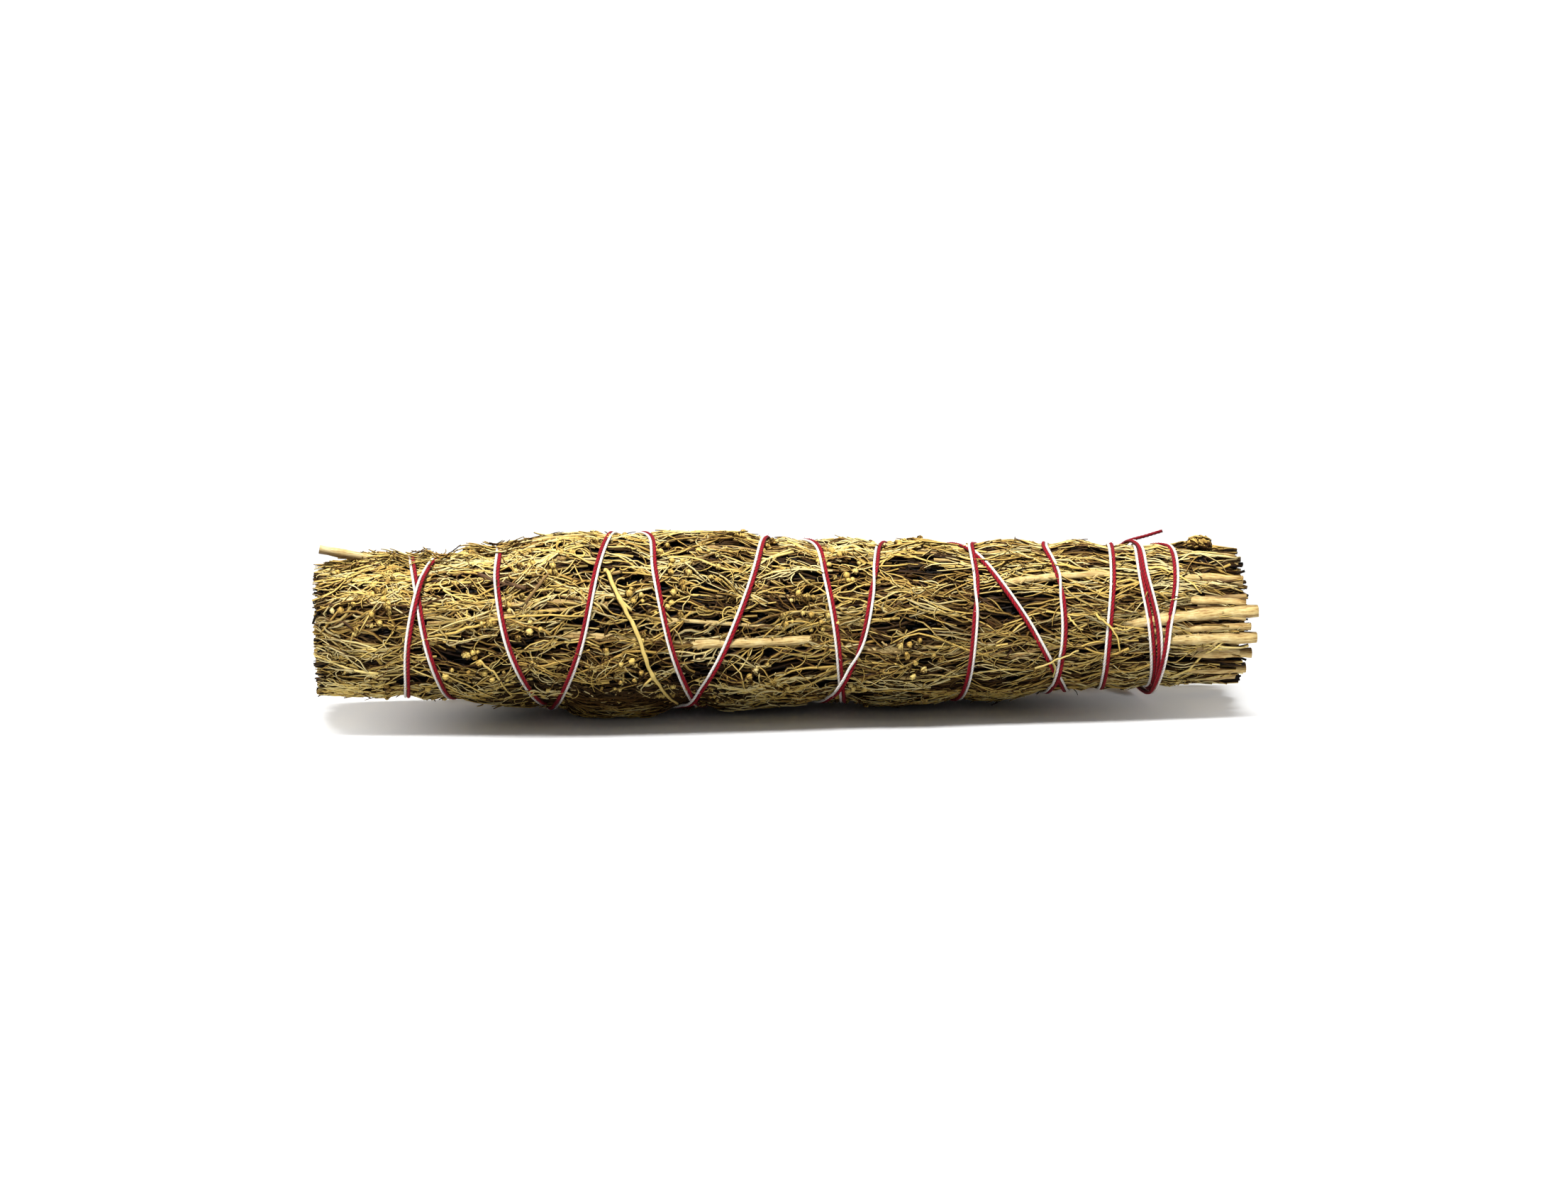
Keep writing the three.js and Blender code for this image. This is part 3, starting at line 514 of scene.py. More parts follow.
# Where each turn of the threads is on top, on the upper front, in front, on the lower front, underneath
# and, for two of them, on the back.
TURN_SHARES = [0, 1 / 8, 1 / 4, 3 / 8, 1 / 2, 3 / 4]
THREAD_TURNS = [
    [91.2, 91.2, 88.7, 86.9, 85.6, 79.6],
    [77.3, 76.2, 74.7, 74.3, 74.0],
    [61.8, 63.5, 64.2, 62.6, 60.4],
    [44.4, 44.2, 43.2, 41.8, 39.3],
    [22.9, 20.4, 17.3, 11.3, 7.0],
    [-4.3, -7.6, -13.7, -20.9, -27.5],
    [-40.1, -43.9, -47.4, -52.0, -55.4],
    [-80.3, -84.6, -87.4, -87.9, -88.1],
    [-86.5, -85.3, -83.3, -79.8, -76.6],
    [-66.3, -66.8, -64.8, -59.4, -53.6],
    [-31.3, -30.4, -27.6, -22.7, -17.9],
    [7.1, 9.2, 11.3, 12.8, 15.2],
    [42.3, 49.4, 57.7, 64.2, 67.7, 75.4],
    [83.5, 84.1, 86.5, 87.0, 86.6],
    [83.4, 82.9, 84.6, 85.8, 85.4, 81.2],
]
THREAD_RADIUS = 0.36
THREAD_SPACING = 0.76
THREAD_LIFT = 0.46
# The turns made and the place, at the start and at the end.
THREAD_FIRST = (-1 / 18, 88.2)
THREAD_LAST = (15 - 2.5 / 18, 80.9)
thread_marks = [THREAD_FIRST]
for turn, row in enumerate(THREAD_TURNS):
    thread_marks += [(turn + share, x) for share, x in zip(TURN_SHARES, row)]
thread_marks.append(THREAD_LAST)
thread_marks = np.array(thread_marks)


def along_route(route, row):
    """Places and angles along a route, smoothly, by the row of its table."""
    return (smooth_value(range(len(route)), column, row) for column in np.array(route).T)


def thread_x(turn):
    return smooth_value(thread_marks[:, 0], thread_marks[:, 1], turn)


def thread_angle(turn):
    return math.pi / 2 - TURN * turn


# Bare stretches of stem in the outside: sprig, angles at the start and the end, start, end, radius.
SURFACE_STEMS = [
    (2, -9, -6, 84, 109.7, 1.35),
    (2, -4.5, 0.5, -25, 8, 1.2),
    (3, 5, 18, 76, 110, 1.45),
    (4, 43, 51, 49, 78, 1.0),
    (5, 97, 97, -62, -36, 1.0),
    (6, 131, 131, 8, 36, 1.15),
    (7, 165, 165, -46, -20, 1.05),
    (8, 190, 190, 14, 38, 1.1),
    (9, 228, 228, -78, -54, 1.0),
]
# Stems that show where they leave the butt: sprig, angle, end, radius.
BUTT_STEMS = [
    (0, -88, 105.6, 1.2),
    (1, -64, 106.2, 1.1),
    (1, -46, 108.1, 1.3),
    (2, -25, 108.8, 1.2),
    (3, 26, 107.2, 1.0),
    (4, 47, 107.0, 1.3),
    (5, 84, 106.4, 1.35),
    (6, 122, 108.4, 1.5),
    (7, 160, 107.1, 1.2),
    (8, 196, 109.0, 1.45),
    (9, 236, 107.6, 1.25),
]
# Finer stems beside them: sprig, start, angles at the start and the end, end, radius.
FINE_BUTT_STEMS = [
    (2, 84, -1.5, 2.5, 108.2, 0.85),
    (2, 91, -6, -4.5, 107.2, 0.6),
    (2, 88, 12, 11, 107.0, 0.55),
]
# The broken twig's route, by place and angle.
TWIG_ROUTE = np.array([
    (-42.0, 46),
    (-41.1, 44),
    (-39.4, 31),
    (-37.4, 19),
    (-35.2, 8),
    (-33.4, -8),
    (-31.9, -20),
    (-30.2, -31),
    (-27.6, -45),
    (-25.4, -56),
])
TWIG_RADIUS = 0.6
# Pale loose stems that catch the eye: sprig, radius, tone, height where the threads don't press it in, or
# nothing for one that lies on the leaves, and the route by place and angle.
LOOSE_STEMS = [
    (2, 0.3, 0.8, 1.3, [(57.5, -26), (61.6, -20), (64.5, -17), (67.6, -12)]),
    (2, 0.22, 0.8, 1.2, [(61.6, -20), (62.3, -27), (62.0, -36)]),
    (3, 0.28, 0.62, 1.35, [(71.6, 14), (74.8, 5), (76.6, -4), (77.3, -15)]),
    (3, 0.22, 0.66, 1.2, [(74.8, 5), (78.0, 2), (80.6, 4)]),
    (2, 0.34, 0.78, None, [(89.4, -47), (96.0, -29), (101.0, -12), (104.0, -5)]),
    (4, 0.34, 0.68, None, [(84.4, 56), (91.0, 48), (96.8, 31)]),
    (3, 0.34, 0.5, None, [(-81.0, 5), (-71.0, 13.5), (-62.6, 16.6), (-46.5, 15.5)]),
    (4, 0.34, 0.66, None, [(-58.0, 66), (-51.0, 60), (-44.5, 53)]),
    (2, 0.32, 0.7, None, [(-71.0, -13), (-67.1, -26), (-63.8, -49)]),
    (1, 0.3, 0.66, None, [(-79.5, -28), (-73.7, -37), (-67.1, -51)]),
    (4, 0.27, 0.72, None, [(-79.0, 42), (-75.0, 33), (-71.0, 30)]),
    (3, 0.3, 0.7, None, [(63.5, 20), (66.0, 10), (68.6, 2)]),
]
# The layers of a sprig: how many strands, and how far over the outermost leaves they lie.
MATS = [(160, (-2.1, -1.1)), (200, (-0.95, -0.5))]
SPRAYS = [(18, (-1.4, -0.8)), (46, (-0.85, -0.3)), (82, (-0.32, 0.08)), (2, (0.3, 0.9))]
STRAYS = 80
COILS = 2
BUD_CLUSTERS = 18
SUNKEN_STEMS = 6
SAGGING_LEAVES = 330
# The sprigs that are fullest near the tips, with how many more side stems there.
FULL_SPRIGS = {3: 15, 4: 15}
# Where more ends stand up out of the top near the tips: sprig, how many, from, to, height.
RAISED_STRAYS = [
    (5, 60, -103, -64, -0.35),
    (5, 70, -106, -90, 0.3),
    (5, 34, -70, -61, 0.45),
    (5, 60, -92, -76, 0.45),
]
# Cut ends at the two faces, in the same columns as the heart's.
SPRIG_ENDS = [
    (105, -1, TIP_END + 0.5, (0.20, 0.36), 0, (0.3, 0.95)),
    (8, -1, TIP_END + 0.5, (0.45, 0.7), 1, (0.3, 0.8)),
    (50, 1, BUTT_END + 4.0, (0.22, 0.38), 0, (0.3, 0.7)),
    (13, 1, BUTT_END + 4.6, (0.5, 1.1), 1, (0.3, 0.85)),
]
# The steps between the points that press the leaves in: for the threads in turns, else in millimetres.
PRESS_TURN = 1 / 140
PRESS_STEP = 1.2


def of_sprig(rows, sprig):
    """The rows of a table that belong to a sprig, without its number."""
    return [row for owner, *row in rows if owner == sprig]


# Everything that presses the leaves in, as points with how high the leaves may come beneath them.
pressing = []
for turn in np.arange(THREAD_FIRST[0], THREAD_LAST[0], PRESS_TURN):
    pressing.append((thread_x(turn), thread_angle(turn), PRESSED))
for sprig, first, last, start, end, radius in SURFACE_STEMS:
    for x in np.arange(start + 1.5, end, PRESS_STEP):
        angle = first + (last - first) * (x - start) / (end - start)
        pressing.append((x, angle * DEGREE, -0.15 * radius))
for sprig, angle, end, radius in BUTT_STEMS:
    for x in np.arange(end - 12, end + 1, PRESS_STEP):
        pressing.append((x, angle * DEGREE, -0.9))
for row in np.linspace(0, len(TWIG_ROUTE) - 1, 44):
    x, angle = (np.interp(row, range(len(TWIG_ROUTE)), column) for column in TWIG_ROUTE.T)
    pressing.append((x, angle * DEGREE, 0.25))
pressing = np.array(pressing)
press_tree = kdtree.KDTree(len(pressing))
for i, point in enumerate(bundle_point(pressing[:, 0], pressing[:, 1], 0.0)):
    press_tree.insert(point, i)
press_tree.balance()


def leaf_height(x, angle):
    """How high the outermost leaves come at each place."""
    spots = bundle_point(x, angle, 0.0).reshape(-1, 3)
    found = [press_tree.find(spot)[1:] for spot in spots]
    index = np.array([f[0] for f in found])
    away = np.array([f[1] for f in found])
    low = pressing[index, 2]
    swell = SWELL * (1 - np.exp(-((np.maximum(away - 0.5, 0) / SWELL_REACH) ** 1.5)))
    near = np.exp(-((away / 1.9) ** 2))
    lumps = 0.28 * np.sin(spots[:, 0] / 3.7 + 5 * np.sin(index * 0.01)) * np.sin(
        11 * np.arctan2(spots[:, 2] - AXIS_HEIGHT, spots[:, 1]) + spots[:, 0] / 17)
    return (low * near + (1 - near) * (swell + lumps)).reshape(np.shape(x))


def seam_angle(seam, x):
    wave = np.sin(x / 19 + 2.4 * (seam % OUTER_SPRIGS))
    return UNDER + (seam - 0.5) * SECTOR + 2.6 * DEGREE * wave


def walk(x, angle, heading, length):
    """Paths over the surface, from a start and the heading at each point. At 0 it is to the tips."""
    step = (length / (heading.shape[1] - 1))[:, None]
    between = (heading[:, 1:] + heading[:, :-1]) / 2
    ahead = np.cumsum(-np.cos(between) * step, 1)
    aside = np.cumsum(np.sin(between) * step, 1)
    at = np.concatenate([x[:, None], x[:, None] + ahead], 1)
    turned = angle[:, None] + np.concatenate([np.zeros_like(aside[:, :1]), aside], 1) / MEAN_RADIUS
    return at, turned


def kept_in(rng, x, angle):
    """Moves paths that pass an end of the bundle back along it, each to a limit of its own."""
    count = len(x)
    tip = TIP_END + 3.4 * rng.random(count) ** 1.6 - 0.2
    butt = BUTT_END + 5.0 - 5.0 * rng.random(count) ** 2
    x = x + np.maximum(tip - x.min(1), 0)[:, None]
    return x - np.maximum(x.max(1) - butt, 0)[:, None], angle


def at_share(values, row, share):
    """Values along paths, read part of the way along."""
    last = values.shape[1] - 1
    low = np.minimum((share * last).astype(int), last - 1)
    part = share * last - low
    return values[row, low] * (1 - part) + values[row, low + 1] * part


def shade(lift):
    """Painted shade: how light a strand is painted by how far it lies under the outermost leaves."""
    return np.clip(1.05 + 1.15 * lift, 0.0, 1)


def lay_leaves(pile, x, angle, lift, radius, sides, tone):
    """Lays strands by how far they lie over the outermost leaves, with painted shade the deeper they lie.
    """
    height = leaf_height(x, angle) + lift
    pile.strands(lay(x, angle, height - radius, radius), radius, sides, tone, shade(lift))


def wave(rng, count, t, size):
    """A wavy change of heading along paths."""
    phase = rng.uniform(0.7, 1.9, (count, 1)) * t + rng.uniform(0, 1, (count, 1))
    return rng.uniform(*size, (count, 1)) * np.sin(TURN * phase)


def combed(x, angle):
    """The heading that neighbouring strands share, as in leaves combed into tufts."""
    return 0.17 * np.sin(x / 6.5 + 5.0 * angle) + 0.14 * np.sin(x / 11.0 - 7.0 * angle + 1.0)


def starts(rng, sprig, count, from_x, to_x):
    """Places spread evenly, but in no row, over a sprig's part of the surface."""
    spread = (rng.random(2) + np.arange(count)[:, None] * [0.7549, 0.5698]) % 1
    x = from_x + (to_x - from_x) * spread[:, 0]
    low, high = seam_angle(sprig, x), seam_angle(sprig + 1, x)
    return x, low + (high - low) * (0.03 + 0.94 * spread[:, 1])


def flowery(x):
    """How much of the bundle is flowering tips at a place: all at the tips, nothing at the butt."""
    return 1 / (1 + np.exp((x - 30) / 12))


def sprays(pile, rng, sprig, count, layer, from_x=TIP_END + 4, to_x=BUTT_END + 16):
    """Side stems with their leaves. layer is how far over the outermost leaves they lie."""
    x, angle = starts(rng, sprig, count, from_x, to_x)
    t = np.linspace(0, 1, 8)
    heading = combed(x, angle) + rng.normal(0, 0.10 + 0.16 * flowery(x))
    heading = heading[:, None] + rng.normal(0, 0.4, (count, 1)) * (t - 0.3)
    heading = heading + wave(rng, count, t, (0.1, 0.45)) + rng.normal(0, 0.13, (count, len(t)))
    stem_x, stem_angle = kept_in(rng, *walk(x, angle, heading, rng.uniform(10, 26, count)))
    lift = rng.uniform(*layer, (count, 1)) + rng.normal(0, 0.12, (count, 1)) * np.sin(math.pi * t)
    crest = max(layer[1], 0.05) + 0.05
    lift = np.minimum(lift, crest)
    girth = rng.uniform(0.26, 0.48, (count, 1)) * (1 - 0.4 * t)
    tone = np.clip(rng.normal(0.64, 0.24, count), 0.05, 1)
    lay_leaves(pile, stem_x, stem_angle, lift, girth, 4, tone)

    row = np.repeat(np.arange(count), rng.integers(6, 13, count))
    total = len(row)
    share = rng.uniform(0.05, 0.98, total)
    start_x = at_share(stem_x, row, share)
    start_angle = at_share(stem_angle, row, share)
    bloom = flowery(start_x)
    open_ = rng.uniform(0.12, 0.5 + 0.45 * bloom) * rng.choice([-1, 1], total)
    curly = rng.random(total) < 0.12 + 0.4 * bloom
    curl = np.where(curly, rng.choice([-1, 1], total) * rng.uniform(1.0, 3.8, total), 0)
    t = np.linspace(0, 1, 6)
    bend = -open_ * rng.uniform(0.3, 1.5, total)
    turning = at_share(heading, row, share)[:, None] + open_[:, None] + bend[:, None] * t
    turning = turning + curl[:, None] * t**3 + wave(rng, total, t, (0.05, 0.45))
    turning = turning + rng.normal(0, 0.16, (total, len(t)))
    reach = rng.uniform(4, 11, total) * np.where(curly, 0.6, 1) * (1.2 - 0.25 * bloom)
    leaf_x, leaf_angle = kept_in(rng, *walk(start_x, start_angle, turning, reach))
    raised = lift[row, 0] + rng.normal(0, 0.2, total)
    profile = raised[:, None] + rng.normal(0.02, 0.22, (total, 1)) * t
    profile = np.minimum(profile, crest + 0.1 * t)
    radius = rng.uniform(0.2, 0.38, total) * (0.78 + 0.22 * bloom)
    radius = radius[:, None] * np.array([0.75, 1, 1.05, 0.95, 0.8, 0.4])
    tips = np.clip(tone[row] + rng.normal(-0.02, 0.26, total), 0.0, 1)[:, None] + 0.15 * t
    lay_leaves(pile, leaf_x, leaf_angle, profile, radius, 3, tips)


def mat(pile, rng, sprig, count, layer):
    """Fine stems packed nearly straight beneath the leaves."""
    x, angle = starts(rng, sprig, count, TIP_END + 6, BUTT_END + 12)
    t = np.linspace(0, 1, 5)
    heading = combed(x, angle)[:, None] + rng.normal(0, 0.16, (count, 1))
    heading = heading + rng.normal(0, 0.4, (count, 1)) * (t - 0.5)
    stem_x, stem_angle = kept_in(rng, *walk(x, angle, heading, rng.uniform(9, 20, count)))
    lift = rng.uniform(*layer, (count, 1)) + rng.normal(0, 0.12, (count, 1)) * np.sin(TURN * t)
    radius = rng.uniform(0.26, 0.48, (count, 1)) * (1 - 0.3 * t)
    tone = np.clip(rng.normal(0.42, 0.15, count), 0.05, 0.9)
    lay_leaves(pile, stem_x, stem_angle, lift, radius, 3, tone)


def strays(pile, rng, sprig, count, from_x, to_x, base=-0.35):
    """Loose ends that stand out of the surface, from base over it."""
    x, angle = starts(rng, sprig, count, from_x, to_x)
    t = np.linspace(0, 1, 6)
    heading = rng.normal(0, 0.45, (count, 1)) + rng.normal(0, 0.9, (count, 1)) * t
    heading = heading + np.where(rng.random((count, 1)) < 0.25, math.pi, 0)
    leaf_x, leaf_angle = kept_in(rng, *walk(x, angle, heading, rng.uniform(3, 8, count)))
    lift = base + rng.uniform(0.3, 1.5, (count, 1)) * t ** rng.uniform(1.0, 2.2, (count, 1))
    radius = rng.uniform(0.18, 0.34, (count, 1)) * (1 - 0.5 * t)
    height = leaf_height(leaf_x, leaf_angle) + lift
    tone = np.clip(rng.normal(0.5, 0.24, count), 0.08, 1)
    # The stray ends get a little painted shade.
    pile.strands(lay(leaf_x, leaf_angle, height, radius), radius, 3, tone, 0.95)


# The leaves that sag: the middle and half length of the place, and how far they come down.
SAG_PLACE = -35
SAG_REACH = 21
SAG = 1.9


def sagging(pile, rng, count):
    """Leaves that sag from the thick part's lower front to the surface that it lies on."""
    x, t = rng.uniform(-54, -12, count), np.linspace(0, 1, 8)
    heading = rng.normal(0, 0.3, (count, 1)) + rng.normal(0, 0.7, (count, 1)) * (t - 0.5)
    heading = heading + wave(rng, count, t, (0.1, 0.5))
    angle = rng.uniform(-82, -36, count) * DEGREE
    leaf_x, leaf_angle = walk(x, angle, heading, rng.uniform(7, 18, count))
    middle = np.clip((leaf_angle / DEGREE + 95) / 55, 0, 1)
    spread = np.clip(1.3 - ((leaf_x - SAG_PLACE) / SAG_REACH) ** 2, 0, 1)
    bulge = np.sin(math.pi * middle) * spread
    lift = rng.uniform(0.1, 1, (count, 1)) ** 0.6 * bulge * SAG * np.sin(math.pi * (0.1 + 0.8 * t))
    radius = rng.uniform(0.22, 0.4, (count, 1)) * (1 - 0.5 * t**2)
    tone = np.clip(rng.normal(0.55, 0.22, count), 0.05, 1)
    height = leaf_height(leaf_x, leaf_angle)
    lift = lift * np.clip(height / 0.9, 0, 1)
    height = height + lift - radius
    # Painted shade: the lower a sagging leaf lies, the darker it is painted.
    painted_light = np.clip(0.25 + 0.75 * lift / 1.6, 0, 1)
    pile.strands(lay(leaf_x, leaf_angle, height, radius), radius, 3, tone, painted_light)


def coils(pile, rng, sprig, count):
    """Dried tendrils rolled up into flat coils."""
    x, angle = starts(rng, sprig, count, TIP_END + 6, 30)
    t = np.linspace(0, 1, 18)
    heading = rng.normal(0, 0.8, (count, 1)) + rng.choice([-1, 1], (count, 1)) * (
        rng.uniform(5, 9, (count, 1)) * t**1.6)
    path_x, path_angle = walk(x, angle, heading, rng.uniform(7, 12, count))
    lift = rng.uniform(-0.25, 0.1, (count, 1)) + 0.25 * t
    radius = rng.uniform(0.2, 0.32, (count, 1)) * (1 - 0.35 * t)
    tone = np.clip(rng.normal(0.68, 0.12, count), 0.3, 1)
    lay_leaves(pile, path_x, path_angle, lift, radius, 4, tone)


# Painted shade: how light a flower head is painted at its sides.
BUD_LIGHT = 0.55
BUD_SIDES = 8
# A flower head's rings from its stalk: radius and place, next to its size. The last lies in its mouth.
BUD_SHAPE = np.array([0.35, 0.88, 1.0, 0.94, 0.7, 0.26])
BUD_STEPS = np.array([-1.1, -0.6, -0.1, 0.4, 0.78, 0.3])
# Painted shade: how light a flower head's mouth is painted.
MOUTH_LIGHT = 0.35


def buds(pile, rng, sprig, clusters):
    """Small flower heads of overlapping bracts on short stalks, in little groups, with painted shade
    between the bracts and in their mouths.
    """
    middle_x, middle_angle = starts(rng, sprig, clusters, TIP_END + 6, 34)
    row = np.repeat(np.arange(clusters), rng.integers(2, 6, clusters))
    count = len(row)
    x = np.maximum(middle_x[row] + rng.normal(0, 1.8, count), TIP_END + 2)
    angle = middle_angle[row] + rng.normal(0, 1.2, count) / MEAN_RADIUS
    size = rng.uniform(0.5, 0.98, count)
    height = leaf_height(x, angle) + rng.uniform(-0.6, 0.25, count)
    away = rng.uniform(-1.2, 1.2, count)[:, None]
    tilt = rng.uniform(0.1, 1.35, count)[:, None]
    out = unit(bundle_point(x, angle, 1.0) - bundle_point(x, angle, 0.0))
    around = np.cross(out, [1.0, 0, 0])
    point = np.sin(away) * around - np.cos(away) * np.array([1.0, 0, 0])
    point = unit(point * np.cos(tilt) + out * np.sin(tilt))
    centre = lay(x, angle, height, size)
    paths = centre[:, None] + point[:, None] * (BUD_STEPS * size[:, None])[..., None]
    radii = size[:, None] * BUD_SHAPE
    paths[..., 2] = np.maximum(paths[..., 2], radii)
    bract = (np.arange(len(BUD_SHAPE))[:, None] + np.arange(BUD_SIDES)) % 2
    every = (count, *bract.shape)
    bumps = 1 - 0.2 * bract + rng.normal(0, 0.07, every)
    # Painted shade between the bracts and in the mouth, with a little random tone.
    painted_light = (1.15 - 0.4 * bract) * rng.uniform(0.8, 1, every)
    painted_light[:, -1] = MOUTH_LIGHT
    tone = np.clip(rng.normal(0.58, 0.14, count), 0.25, 1)
    pile.side_light = BUD_LIGHT
    pile.strands(paths, radii, BUD_SIDES, tone, painted_light, shape=bumps)
    pile.side_light = SIDE_LIGHT
    t = np.linspace(0, 1, 4)
    root = centre - point * (size * 0.9)[:, None]
    length = rng.uniform(1.5, 3.5, count)
    drop = out * (rng.uniform(0.5, 1.1, count) * size)[:, None]
    stalk = root[:, None] - point[:, None] * (t * length[:, None])[..., None] - drop[:, None] * (
        t[None, :, None] ** 1.4)
    stalk[..., 2] = np.maximum(stalk[..., 2], 0.2)
    # The stalk gets a little painted shade.
    pile.strands(stalk, np.full((count, 4), 0.2), 3, tone - 0.1, 0.7)


def woody(pile, rng, x, angle, lift, radius, tone, sides=10, knots=True, painted_light=1.0):
    """One bare stem along given places, a little crooked, with swellings where side stems broke off, and
    as much painted shade as it is given.
    """
    rings = len(x)
    angle = np.broadcast_to(angle, rings)
    wander = np.cumsum(rng.normal(0, 0.05, rings))
    swell = 1 + 0.10 * np.sin(np.arange(rings) * 1.3 + rng.uniform(0, 6)) + rng.normal(0, 0.03, rings)
    flute = 1 + 0.07 * rng.normal(0, 1, (1, 1, sides)) + 0.02 * rng.normal(0, 1, (1, rings, sides))
    radii = radius * swell
    path = lay(x, angle + wander / 20, lift, radii)
    pile.strands(path[None], radii[None], sides, tone, painted_light, 1, shape=flute)
    if not knots:
        return
    for spot in rng.choice(np.arange(2, rings - 2), min(3, rings - 4), replace=False):
        way = rng.choice([-1, 1]) * rng.uniform(0.3, 0.9)
        length = rng.uniform(1.6, 3.0)
        t = np.linspace(0, 1, 4)
        stub_x = x[spot] - length * math.cos(way) * t
        stub_angle = angle[spot] + (wander[spot] + length * math.sin(way) * t) / MEAN_RADIUS
        stub = lay(stub_x, stub_angle, lift[spot] + 0.45 * radius + 0.2 * t, 0.4)
        size = radius * np.array([0.55, 0.42, 0.36, 0.34])
        pile.strands(stub[None], size[None], 6, tone, painted_light, 1)


# The burl on top of the butt.
BURL_X = 98.2
BURL_ANGLE = 86 * DEGREE
BURL_LENGTH = 3.0
BURL_RADIUS = 1.6
BURL_LIFT = 1.2
BURL_RINGS = 20
BURL_SIDES = 18
BURL_FLAKES = 60


def burl(pile, rng):
    """A lump of bark, painted darker in its hollows and lighter on its bumps as painted shade, and the
    flakes that peel from it.
    """
    t = np.linspace(-1, 1, BURL_RINGS)
    radii = BURL_RADIUS * np.sqrt(np.maximum(1 - t**2, 0.03)) * (1 + 0.1 * np.sin(9 * t))
    lumps = 1 + 0.1 * rng.normal(0, 1, (1, BURL_RINGS, BURL_SIDES))
    # Painted shade: the burl is painted darker where its surface sinks in and lighter where it stands
    # out, and a little darker all over.
    bark = np.clip(0.4 + 1.5 * (lumps - 1), 0, 1)
    path = bundle_point(BURL_X + BURL_LENGTH * t, BURL_ANGLE, BURL_LIFT)
    pile.strands(path[None], radii[None], BURL_SIDES, bark, 0.85, shape=lumps)
    one_each = (BURL_FLAKES, 1)
    t = np.linspace(0, 1, 4)
    at = rng.uniform(-0.95, 0.95, one_each) + rng.normal(0, 0.5, one_each) * t
    turned = rng.uniform(0, TURN, one_each) + rng.normal(0, 0.45, one_each) * t
    reach = BURL_RADIUS * np.sqrt(np.maximum(1 - at**2, 0.05))
    reach = reach + rng.uniform(0, 0.3, one_each) + 0.3 * t**3
    path = bundle_point(BURL_X + BURL_LENGTH * at, BURL_ANGLE, BURL_LIFT)
    path[..., 1] += reach * np.cos(turned)
    path[..., 2] += reach * np.sin(turned)
    tone = rng.uniform(0.2, 0.7, BURL_FLAKES)
    # The flakes get a little painted shade.
    pile.strands(path, rng.uniform(0.2, 0.45, one_each) * (1 - 0.4 * t), 4, tone, 0.95)


def dark_fork(pile, rng):
    """The old dark stem near the tips that parts in two on the upper front, dark by its own colour and by
    painted shade.
    """
    for start, end, first, last, rings, lift, radius, tone, sides, knots, painted_light in (
        (-71, -60, 54, 35, 9, -0.25, 0.52, 0.0, 9, True, 0.35),
        (-60.2, -54.8, 26, 44, 7, -0.1, 0.38, 0.25, 7, False, 0.7),
    ):
        x = np.linspace(start, end, rings)
        angle = np.linspace(first, last, rings) * DEGREE
        woody(pile, rng, x, angle, leaf_height(x, angle) + lift, radius, tone, sides, knots, painted_light)


def tip_stem(pile, rng):
    """The pale stem that sticks up out of the top at the tips."""
    t = np.linspace(0, 1, 11)
    x, angle, lift = -88 - 19.6 * t, 84 * DEGREE + 0.03 * t, -2 + 8.8 * t
    woody(pile, rng, x, angle, lift, 1.0, 0.85, sides=12, knots=False)


def outer_core(rng, sprig):
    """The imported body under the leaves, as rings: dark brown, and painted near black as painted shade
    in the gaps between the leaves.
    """
    x = CORE_PLACES[:, None]
    low, high = seam_angle(sprig, x), seam_angle(sprig + 1, x)
    rough = rng.uniform(-0.35, 0.1, (len(CORE_PLACES), 9))
    outside = bundle_point(x, low + (high - low) * np.linspace(0.99, 0.01, 9), -2.0 + rough)
    depth = -(1 - INNER_SHARE) * radius_at(x)
    inside = bundle_point(x, low + (high - low) * np.array([[0.03, 0.97]]), depth)
    return np.concatenate([outside, inside], 1)


